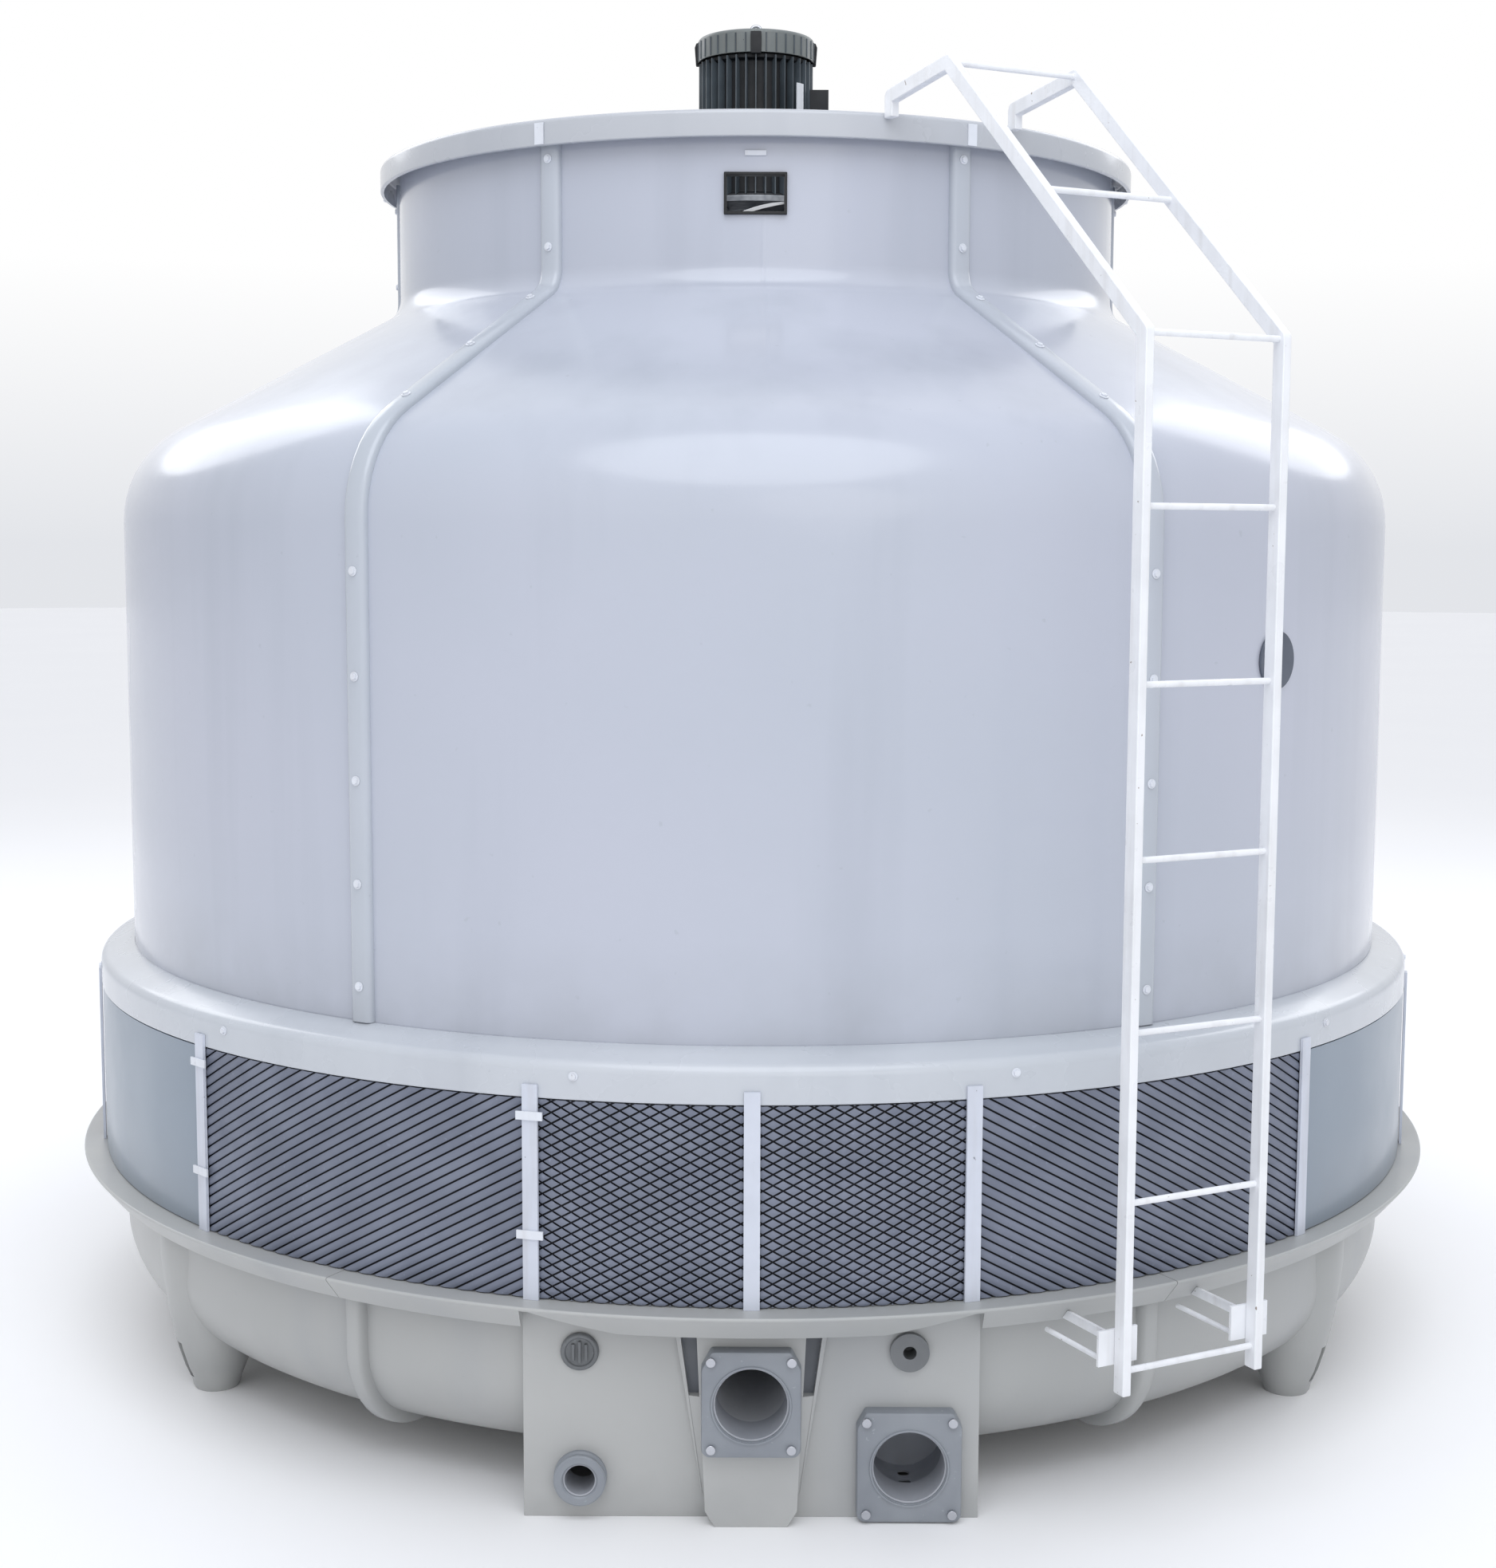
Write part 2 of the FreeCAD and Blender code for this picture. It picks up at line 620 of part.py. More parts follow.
def build_straps():
    """A raised strap over every joint of the casing."""
    proud = cell("strap_proud")
    width = cell("strap_width")
    foot = skirt_top + 1
    top = stack_top - cell("rim_wall")
    inner = casing_path(seat_gap, foot, top)
    outer = casing_path(proud, foot, top)
    straps = []
    for index, angle in enumerate(joint_angles()):
        strap = padded_body("strap_%d" % index, inner + outer[::-1], width, midplane=True)
        straps.append(place(strap, turn=FRONT + angle))
    finish("seam_straps", group("all_straps", straps))


def bolt_head(radius, height, middle, direction):
    return Part.makeCylinder(radius, height, middle, direction)


def build_casing_bolts():
    """Round heads in a row down the middle of every strap."""
    radius = cell("strap_bolt_radius").value
    height = cell("strap_bolt_height").value
    pitch = cell("strap_bolt_pitch").value
    stand_off = cell("strap_proud").value + seat_gap.value / 3
    slope = math.radians(cone_slope.value)
    out = FreeCAD.Vector(1, 0, 0)
    upward = FreeCAD.Vector(math.sin(slope), 0, math.cos(slope))
    path = [FreeCAD.Vector(value_of(corner[0]), 0, value_of(corner[1]))
            for corner in casing_path(ZERO, skirt_top, stack_top)]
    foot, shoulder, neck, top = path
    spare = {
        "barrel": cell("shoulder_round").value,
        "cone_low": cell("shoulder_round").value * 0.75,
        "cone_high": cell("neck_round").value * 1.2,
        "neck": cell("rim_lip").value + 2 * radius,
    }
    runs = [
        (foot, shoulder, pitch / 3, spare["barrel"], out),
        (shoulder, neck, spare["cone_low"], spare["cone_high"], upward),
        (neck, top, spare["cone_high"], spare["neck"], out),
    ]
    row = []
    for start, end, margin_start, margin_end, direction in runs:
        along = end - start
        free = along.Length - margin_start - margin_end
        gaps = max(1, round(free / pitch))
        for step in range(gaps + 1):
            reach = margin_start + free * step / gaps
            middle = start + along.normalize() * reach + direction * stand_off
            row.append(bolt_head(radius, height, middle, direction))
            along = end - start
    heads = []
    for angle in joint_angles():
        turn = FreeCAD.Placement(FreeCAD.Vector(), FreeCAD.Rotation(Z_AXIS, FRONT + angle.value))
        heads += [head.transformed(turn.toMatrix()) for head in row]
    finish("casing_bolts", computed("all_casing_bolts", Part.makeCompound(heads)))


def build_stack_rim():
    radius = rim_radius
    wall = cell("rim_wall")
    bore = neck_radius - panel_wall
    underside = stack_top + seat_gap
    top = underside + wall
    corners = [
        (bore, top),
        (radius, top, wall * 0.75),
        (radius, top - cell("rim_lip")),
        (radius - wall, top - cell("rim_lip")),
        (radius - wall, underside),
        (bore, underside),
    ]
    finish("stack_rim", turned_body("stack_rim_ring", corners))


def build_skirt():
    radius = skirt_radius
    wall = panel_wall
    collar = casing_radius + seat_gap
    ledge_top = casing_foot - seat_gap
    ledge_inner = casing_radius - cell("skirt_ledge")
    corners = [
        (collar, skirt_top),
        (collar + wall, skirt_top),
        (radius, casing_foot, 3 * wall),
        (radius, skirt_foot),
        (radius - wall, skirt_foot),
        (radius - wall, ledge_top - wall),
        (ledge_inner, ledge_top - wall),
        (ledge_inner, ledge_top),
        (collar, ledge_top),
    ]
    finish("skirt_ring", turned_body("skirt_ring_moulding", corners))


# ----------------------------------------------------------------- basin

def add_joint_rib(body, index, side):
    """Half of the outside rib where two basin segments are bolted together."""
    proud = cell("rib_proud")
    bite = basin_wall / 2
    outer = basin_wall_radius + proud
    inner = basin_wall_radius - bite
    foot = pan_foot - proud
    seat = pan_foot + bite
    deck = rim_height - basin_wall
    corners = [
        (outer, deck),
        (outer, foot, pan_round + proud),
        (rib_inner_radius, foot),
        (rib_inner_radius, seat),
        (inner, seat, pan_round - bite),
        (inner, deck),
    ]
    sketch = sketch_on(body, "rib_%d_%d" % (index, side > 0), swing=side * panel_span / 2)
    draw_outline(sketch, corners)
    rib = body.newObject("PartDesign::Pad", "rib_pad_%d_%d" % (index, side > 0))
    rib.Profile = sketch
    rib.Length = value_of(cell("rib_flange"))
    bind(rib, "Length", cell("rib_flange"))
    rib.Reversed = side < 0
    doc.recompute()


def basin_segment(index):
    """One sector of rim, wall and pan with its two half ribs."""
    rim = basin_rim_radius
    deck = rim_height - basin_wall
    lip_foot = rim_height - cell("lip_height")
    lip_inner = rim - cell("lip_slope_run")
    corners = [
        (0, pan_foot),
        (basin_wall_radius, pan_foot, pan_round),
        (basin_wall_radius, deck),
        (rim - 1.5 * basin_wall, deck),
        (lip_inner - 1.2 * basin_wall, lip_foot),
        (lip_inner, lip_foot),
        (rim, rim_height),
        (basin_wall_radius - basin_wall, rim_height),
        (basin_wall_radius - basin_wall, pan_floor, pan_round - basin_wall),
        (0, pan_floor),
    ]
    body = turned_body("segment_%d_moulding" % index, corners, panel_span)
    for side in (1, -1):
        add_joint_rib(body, index, side)
    return place(body, turn=FRONT + (index - 1) * panel_span)


def build_basin():
    block = box(
        "sump_space_block",
        (-(sump_half_width + seat_gap), -(basin_wall_radius + BEYOND), -BEYOND),
        (sump_half_width + seat_gap, -(sump_back - seat_gap), rim_height - basin_wall))
    limit = cylinder("sump_space_limit", basin_wall_radius + BEYOND * 0.8,
                     rim_height + 2 * BEYOND, at=(0, 0, -BEYOND))
    space = common("sump_space", block, limit)
    for index in range(1, PANELS + 1):
        segment = basin_segment(index)
        if index == 1:
            segment = cut("segment_with_sump_space", segment, space)
        finish("basin_segment_%d" % index, segment)


def leg_angles():
    """Four legs at the corners of a rectangle, and one at the back."""
    angle = cell("leg_angle")
    return [angle, 180 - angle, 180 + angle, -angle, ZERO + 180]


def build_legs():
    """Hollow conical legs, cut to the underside of the pan."""
    gap = seat_gap
    outer = basin_wall_radius + gap
    under = pan_foot - gap
    corners = [
        (0, under),
        (outer, under, pan_round + gap),
        (outer, rim_height),
        (0, rim_height),
    ]
    pan_outside = turned_body("pan_outside", corners)
    hole = cell("anchor_hole_radius")
    wall = cell("leg_wall")
    sole = cell("leg_sole")
    foot = cell("leg_foot_radius")
    waist = (cell("leg_waist_radius"), cell("leg_waist_height"))
    top = (cell("leg_top_radius"), cell("leg_top_height"))
    outline = [
        (hole, 0),
        (foot, 0),
        waist,
        top,
        (top[0] - wall, top[1]),
        (waist[0] - wall, waist[1]),
        (foot - wall / 2, sole),
        (hole, sole),
    ]
    ring = leg_ring_radius
    slot_half = cell("leg_slot_width") / 2
    slot_foot = sole + wall
    legs = []
    for index, angle in enumerate(leg_angles()):
        cone = turned_body("leg_cone_%d" % index, outline)
        place(cone, at=(0, -ring, 0))
        slot = box(
            "leg_slot_%d" % index,
            (-slot_half, -(ring + waist[0] + BEYOND), slot_foot),
            (slot_half, -(ring + wall), slot_foot + cell("leg_slot_height")))
        slotted = cut("leg_slotted_%d" % index, cone, slot)
        legs.append(place(cut("leg_%d" % index, slotted, pan_outside), turn=angle))
    finish("basin_legs", group("all_legs", legs))


def build_sump():
    """The box that hangs out of the basin's front, with its tapered column."""
    outside = box("sump_outside", (-sump_half_width, -sump_front, 0),
                  (sump_half_width, -sump_back, sump_top))
    inner_half = sump_half_width - sump_wall
    inside = box("sump_inside", (-inner_half, -(sump_front - sump_wall), sump_wall),
                 (inner_half, -(sump_back + sump_wall), sump_top + BEYOND))
    shell = cut("sump_shell", outside, inside)
    basin_room = cylinder("basin_room_round", basin_wall_radius - basin_wall, rim_height,
                          at=(0, 0, pan_floor))
    behind_face = box(
        "basin_room_block", (-(sump_half_width + BEYOND), -(sump_front - sump_wall), pan_floor),
        (sump_half_width + BEYOND, 0, rim_height))
    shell = cut("sump_open_to_basin", shell, common("basin_room", basin_room, behind_face))

    low = cell("column_chamfer")
    outline = [
        (-cell("column_foot_half"), 0),
        (cell("column_foot_half"), 0),
        (cell("column_low_half"), low),
        (cell("column_top_half"), sump_top),
        (-cell("column_top_half"), sump_top),
        (-cell("column_low_half"), low),
    ]
    column = padded_body("sump_column", outline, cell("column_proud"), lift=sump_front)
    solid = fuse("sump_with_column", [shell, column])

    back_of_face = -(sump_front - sump_wall - BEYOND)
    reach = cell("column_proud") + sump_wall + 2 * BEYOND
    wide_bore = cell("pipe_bore") + cell("socket_relief")
    row = -cell("port_row_offset")
    holes = [
        ("inlet", wide_bore, 0, cell("inlet_centre")),
        ("outlet", wide_bore, cell("outlet_offset"), cell("outlet_centre")),
        ("drain", cell("drain_bore") + cell("socket_relief"), row, cell("drain_centre")),
        ("overflow", cell("overflow_spigot") + seat_gap, row, cell("overflow_centre")),
        ("makeup", cell("makeup_neck") + seat_gap, cell("outlet_offset"),
         cell("makeup_centre")),
    ]
    tools = [bar_forward(name + "_hole", radius, reach, (x, back_of_face, z))
             for name, radius, x, z in holes]
    finish("sump_box", cut("sump_with_holes", solid, fuse("sump_holes", tools)))


# ----------------------------------------------------- water connections

def socket_plate(node, width, height, x, z, face):
    """A bored plate for a pipe, on a face that looks forward."""
    plate = box(node + "_plate", (x - width / 2, -(face + cell("plate_thickness")), z - height / 2),
                (x + width / 2, -face, z + height / 2))
    bore = bar_forward(node + "_bore", cell("pipe_bore"), cell("plate_thickness") + 2 * BEYOND,
                       (x, -(face - BEYOND), z))
    finish(node, cut(node + "_bored", plate, bore))


def plate_corners(width, height, x, z):
    inset = cell("plate_bolt_inset")
    return [(x + sx * (width / 2 - inset), z + sz * (height / 2 - inset))
            for sx in (-1, 1) for sz in (-1, 1)]


def build_connections():
    column_face = sump_front + cell("column_proud")
    middle = ZERO
    offset = cell("outlet_offset")
    plates = [
        ("inlet_flange", cell("inlet_width"), cell("inlet_height"), middle,
         cell("inlet_centre"), column_face),
        ("outlet_flange", cell("outlet_width"), cell("outlet_height"), offset,
         cell("outlet_centre"), sump_front),
    ]
    heads = []
    for node, width, height, x, z, face in plates:
        socket_plate(node, width, height, x, z, face)
        front = -(face + cell("plate_thickness"))
        for bolt_x, bolt_z in plate_corners(width, height, x, z):
            heads.append(bar_forward("%s_bolt_%d" % (node, len(heads)), cell("plate_bolt_radius"),
                                     cell("plate_bolt_head"), (bolt_x, front, bolt_z)))
    finish("flange_bolts", group("all_flange_bolts", heads))

    row = -cell("port_row_offset")
    height = cell("drain_centre")
    ring = bar_forward("drain_ring", cell("drain_outer"), cell("drain_proud"),
                       (row, -sump_front, height))
    bore = bar_forward("drain_bore_tool", cell("drain_bore"), cell("drain_proud") + 2 * BEYOND,
                       (row, -(sump_front - BEYOND), height))
    finish("drain_socket", cut("drain_bored", ring, bore))

    height = cell("overflow_centre")
    plug_flange = bar_forward("overflow_rim", cell("overflow_radius"), cell("overflow_flange"),
                              (row, -sump_front, height))
    spigot = bar_forward("overflow_stub", cell("overflow_spigot"), cell("overflow_depth"),
                         (row, -(sump_front - cell("overflow_depth")), height))
    finish("overflow_plug", fuse("overflow_pieces", [plug_flange, spigot]))

    build_makeup_valve(offset)

    length = cell("strainer_length")
    start = -(sump_front - sump_wall)
    radius = cell("strainer_radius")
    wall = cell("strainer_wall")
    height = cell("outlet_centre")
    tube = bar_forward("strainer_tube", radius, length, (offset, start + length, height))
    hollow = bar_forward("strainer_hollow", radius - wall, length,
                         (offset, start + length - wall, height))
    basket = cut("strainer_basket", tube, hollow)
    slots = []
    for level in range(3):
        y = start + length * (level + 1) / 4
        slots.append(cylinder("strainer_slot_%d" % level, cell("strainer_hole"),
                              2 * radius + 2, at=(offset, y, height - radius - 1)))
    finish("strainer", cut("strainer_pierced", basket, fuse("strainer_slots", slots)))


def build_makeup_valve(offset):
    """Make-up valve through the sump's wall, and the float that works it."""
    height = cell("makeup_centre")
    inner_face = sump_front - sump_wall
    block = cell("makeup_block")
    pin_y = -(inner_face - block - cell("float_pin_radius") * 3)
    flange = bar_forward("makeup_face", cell("makeup_radius"), cell("makeup_flange"),
                         (offset, -sump_front, height))
    neck = bar_forward("makeup_stem", cell("makeup_neck"), sump_wall,
                       (offset, -inner_face, height))
    body = box("makeup_body", (offset - block / 2, -inner_face, height - block / 2),
               (offset + block / 2, -(inner_face - block), height + block / 2))
    ear_reach = cell("float_pin_radius") * 6
    ears = []
    for side in (-1, 1):
        inner = side * (cell("float_arm_radius") + 1)
        outer = side * (cell("float_arm_radius") + 7)
        low_x, high_x = sorted((inner, outer), key=value_of)
        ears.append(box("makeup_ear_%d" % (side > 0),
                        (offset + low_x, -(inner_face - block), height - ear_reach / 2),
                        (offset + high_x, -(inner_face - block) + ear_reach,
                         height + ear_reach / 2)))
    valve = fuse("makeup_pieces", [flange, neck, body] + ears)
    bore = bar_forward("makeup_bore_tool", cell("makeup_bore"),
                       cell("makeup_flange") + sump_wall + block / 2,
                       (offset, -(inner_face - block / 2), height))
    front_bore = bar_forward("makeup_bore_front", cell("makeup_bore"), BEYOND,
                             (offset, -sump_front, height))
    pin_hole = cylinder("makeup_pin_hole", cell("float_pin_radius") + shaft_fit, block,
                        at=(offset - block / 2, pin_y, height), axis=Y_AXIS, turn=90)
    tools = fuse("makeup_tools", [bore, front_bore, pin_hole])
    finish("makeup_valve", cut("makeup_bored", valve, tools))

    half_pin = cell("float_arm_radius") + 7
    pin = cylinder("float_pin", cell("float_pin_radius"), 2 * half_pin,
                   at=(offset - half_pin, pin_y, height), axis=Y_AXIS, turn=90)
    reach = cell("float_arm_length") - cell("float_ball_radius") - seat_gap
    rod = cylinder("float_rod", cell("float_arm_radius"), reach, at=(offset, pin_y, height),
                   axis=X_AXIS, turn=-90)
    finish("float_arm", fuse("float_arm_pieces", [pin, rod]))
    ball = doc.addObject("Part::Sphere", "float_sphere")
    ball.Radius = value_of(cell("float_ball_radius"))
    bind(ball, "Radius", cell("float_ball_radius"))
    place(ball, at=(offset, pin_y + cell("float_arm_length"), height))
    finish("float_ball", ball)


def build_riser():
    """Inlet pipe across the basin to the elbow, and the riser that stands in the elbow."""
    bore = cell("pipe_bore")
    outer = bore + cell("pipe_wall")
    level = cell("inlet_centre")
    top = riser_top
    run = sump_front - sump_wall - seat_gap
    solids = []
    hollows = []
    for name, radius, target in (("outer", outer, solids), ("inner", bore, hollows)):
        target.append(bar_forward("inlet_run_" + name, radius, run, (0, 0, level)))
        elbow = doc.addObject("Part::Sphere", "elbow_" + name)
        elbow.Radius = value_of(radius)
        bind(elbow, "Radius", radius)
        target.append(place(elbow, at=(0, 0, level)))
    seat = level + outer + cell("elbow_neck")
    hollows.append(cylinder("elbow_mouth", bore, seat - level + BEYOND, at=(0, 0, level)))
    solids.append(cylinder("elbow_collar", outer, seat - level, at=(0, 0, level)))
    finish("inlet_pipe", cut("inlet_tube", fuse("inlet_outside", solids),
                             fuse("inlet_inside", hollows)))

    outside = cylinder("riser_outside", outer, top - seat, at=(0, 0, seat))
    inside = cylinder("riser_inside", bore, top - seat, at=(0, 0, seat))
    pipe = cut("riser_tube", outside, inside)
    lid = cylinder("riser_lid", outer, cell("pipe_wall"), at=(0, 0, top))
    spindle = cylinder("riser_spindle", cell("spindle_radius"), cell("spindle_height"),
                       at=(0, 0, top))
    finish("riser_pipe", fuse("riser_pieces", [pipe, lid, spindle]))


# ------------------------------------------------------------ air inlet

def screen(name, start, sweep):
    """One curved screen between two angles round the tower."""
    gap = cell("screen_edge_gap")
    outer = skirt_radius
    inner = outer - cell("screen_depth")
    foot = rim_height + seat_gap
    height = skirt_foot - seat_gap - foot
    turn = FRONT + start + gap
    solid = cylinder(name + "_outside", outer, height, at=(0, 0, foot), turn=turn,
                     sweep=sweep - 2 * gap)
    hollow = cylinder(name + "_inside", inner, height, at=(0, 0, foot), turn=turn,
                      sweep=sweep - 2 * gap)
    return cut(name, solid, hollow)


def build_screens():
    span = cell("screen_span")
    half = span / 2
    named = [
        ("screen_front_left", -half, half),
        ("screen_front_right", ZERO, half),
        ("screen_left", -3 * half, span),
        ("screen_right", half, span),
    ]
    for node, start, sweep in named:
        finish(node, screen(node + "_sheet", start, sweep))
    bays = round(360 / span.value) - 3
    others = [screen("rear_screen_%d" % bay, 3 * half + bay * span, span) for bay in range(bays)]
    finish("screens_rear", group("all_rear_screens", others))


def post_angles():
    span = cell("screen_span")
    bays = round(360 / span.value)
    return [ZERO] + [(bay + 0.5) * span for bay in range(bays)]


def clip_places():
    """Angle and height of each turn-clip: two on each of the two left-hand posts."""
    half = cell("screen_span") / 2
    return [(-half * post, height) for post in (3, 1)
            for height in (clip_high, clip_low)]


def post_face():
    return skirt_radius + seat_gap + cell("post_thickness")


def build_posts():
    """Flat upright posts from the basin's rim to the skirt."""
    half = cell("post_width") / 2
    back = skirt_radius + seat_gap
    foot = rim_height + seat_gap
    top = skirt_foot + cell("post_lap")
    posts = []
    for index, angle in enumerate(post_angles()):
        post = box("post_bar_%d" % index, (-half, -post_face(), foot), (half, -back, top))
        post = group("post_%d" % index, [post])
        posts.append(place(post, turn=angle))
    standing = group("posts_standing", posts)
    holes = []
    for index, (angle, height) in enumerate(clip_places()):
        hole = bar_forward("clip_hole_%d" % index, cell("clip_pin_radius") + shaft_fit,
                           cell("post_thickness") + 2,
                           (0, -(back - 1), height))
        holes.append(place(group("clip_hole_turned_%d" % index, [hole]), turn=angle))
    finish("screen_posts", cut("posts_drilled", standing, fuse("clip_holes", holes)))

    half_length = cell("clip_length") / 2
    half_width = cell("clip_width") / 2
    face = post_face() + seat_gap
    for index, (angle, height) in enumerate(clip_places()):
        bar = box("clip_bar_%d" % index,
                  (-half_length, -(face + cell("clip_thickness")), height - half_width),
                  (half_length, -face, height + half_width))
        pin = bar_forward("clip_pin_%d" % index, cell("clip_pin_radius"),
                          cell("post_thickness") + seat_gap, (0, -back, height))
        clip = fuse("clip_pieces_%d" % index, [bar, pin])
        finish("turn_clip_%d" % (index + 1), place(clip, turn=angle))


def build_stays():
    """Tubes behind the screens that carry the casing on the basin's rim."""
    foot = rim_height + seat_gap
    top = casing_foot - seat_gap - panel_wall - seat_gap
    stays = []
    for index, angle in enumerate(post_angles()[1:]):
        tube = cylinder("stay_tube_%d" % index, cell("stay_radius"), top - foot,
                        at=(0, -stay_ring_radius, foot))
        stays.append(place(group("stay_%d" % index, [tube]), turn=angle))
    finish("casing_stays", group("all_stays", stays))


# --------------------------------------------------------------- ladder

def flat_bar(name, x, start, end):
    """A rail's straight run between two (radius, height) points of the ladder's side view."""
    half_width = cell("rail_width") / 2
    half_depth = cell("rail_depth") / 2
    run = value_of(start[0] - end[0])
    rise = value_of(end[1] - start[1])
    run_text = (start[0] - end[0]).text
    rise_text = (end[1] - start[1]).text
    length = Size("sqrt(%s ^ 2 + %s ^ 2)" % (run_text, rise_text), math.hypot(run, rise))
    lean = Size("(-1 * atan2(%s; %s))" % (run_text, rise_text),
                -math.degrees(math.atan2(run, rise)))
    bar = box(name + "_bar", (-half_width, -half_depth, ZERO),
              (half_width, half_depth, length))
    bar = group(name, [bar])
    return place(bar, at=(x, -start[0], start[1]), axis=X_AXIS, turn=lean)


def knuckle(name, x, point):
    """The rounded bend between two runs of a rail."""
    half_width = cell("rail_width") / 2
    return cylinder(name, cell("rail_depth") / 2, cell("rail_width"),
                    at=(x - half_width, -point[0], point[1]), axis=Y_AXIS, turn=90)


def rail_route():
    """Side view of a rail: up, in over the cone, and down outside the stack's rim."""
    ladder = ladder_radius
    inside = cell("ladder_half_gauge") - cell("rail_width") / 2
    rim = rim_radius
    rim_face = Size("sqrt(%s ^ 2 - %s ^ 2)" % (rim.text, inside.text),
                    math.sqrt(rim.value ** 2 - inside.value ** 2))
    hook = rim_face + seat_gap + cell("rail_depth") / 2
    rim_top = stack_top + seat_gap + cell("rim_wall")
    return [
        (ladder, cell("rail_foot")),
        (ladder, rail_bend),
        (rail_apex_radius, rail_apex),
        (hook, hook_height),
        (hook, rim_top - cell("hook_lap")),
    ]


def on_rail(fraction):
    """A point of the leaning run, as a share of its length from the bend."""
    bend, apex = rail_route()[1:3]
    return tuple(start + (end - start) * fraction for start, end in zip(bend, apex))


def build_ladder():
    gauge = cell("ladder_half_gauge")
    angle = cell("ladder_angle")
    route = rail_route()
    rails = []
    for side in (-1, 1):
        x = side * gauge
        tag = "rail_%d" % (side > 0)
        pieces = []
        for step in range(len(route) - 1):
            name = "%s_run_%d" % (tag, step)
            pieces.append(flat_bar(name, x, route[step], route[step + 1]))
        for step, point in enumerate(route[1:-1]):
            pieces.append(knuckle("%s_bend_%d" % (tag, step), x, point))
        rails.append(fuse(tag, pieces))
    finish("ladder_rails", place(group("both_rails", rails), turn=angle))

    half_rung = gauge - cell("rail_width") / 2
    ladder = ladder_radius
    heights = [cell("rung_first") + step * cell("rung_pitch")
               for step in range(int(cell("rung_count").value))]
    places = [(ladder, height) for height in heights]
    places += [route[1], on_rail(0.5), route[2]]
    rungs = [cylinder("rung_%d" % index, cell("rung_radius"), 2 * half_rung,
                      at=(-half_rung, -radius, height), axis=Y_AXIS, turn=90)
             for index, (radius, height) in enumerate(places)]
    finish("ladder_rungs", place(group("all_rungs", rungs), turn=angle))

    build_brackets(gauge, ladder, angle)


def build_brackets(gauge, ladder, angle):
    """Plates behind the rails, with an arm and a stay rod to the basin's rim."""
    thick = cell("bracket_plate")
    half_width = cell("bracket_width") / 2
    middle = cell("bracket_middle")
    half_height = cell("bracket_height") / 2
    plate_front = ladder - cell("rail_depth") / 2
    rim = basin_rim_radius
    low_lip = rim - cell("lip_slope_run")
    level = middle + half_height / 3
    brackets = []
    for side in (-1, 1):
        tag = "bracket_%d" % (side > 0)
        x = side * gauge
        plate = box(tag + "_plate", (x - half_width, -plate_front, middle - half_height),
                    (x + half_width, -(plate_front - thick), middle + half_height))
        arm = box(tag + "_arm", (x - thick / 2, -(plate_front - thick / 2), level - 2 * thick),
                  (x + thick / 2, -(low_lip - thick), level + thick))
        rod_x = x - 0.8 * half_width
        rod = cylinder(tag + "_rod", cell("bracket_stay_radius"), plate_front - low_lip + thick,
                       at=(rod_x, -(plate_front - thick / 2), middle - half_height * 0.6),
                       axis=X_AXIS, turn=-90)
        brackets.append(fuse(tag, [plate, arm, rod]))
    standing = place(group("brackets_standing", brackets), turn=angle)
    gap = seat_gap
    lip = cell("lip_height")
    slope = cell("lip_slope_run")
    corners = [
        (0, rim_height - lip - 3 * gap - BEYOND),
        (low_lip + gap, rim_height - lip - 3 * gap - BEYOND),
        (low_lip + gap, rim_height - lip - gap),
        (rim + 2 * gap, rim_height - gap / 2),
        (rim + 2 * gap, rim_height + BEYOND),
        (0, rim_height + BEYOND),
    ]
    basin_outside = turned_body("basin_outside", corners)
    finish("ladder_brackets", cut("brackets_fitted", standing, basin_outside))


# ------------------------------------------------------- motor and fan

motor_foot = motor_foot
motor_top = motor_foot + cell("motor_body_height")


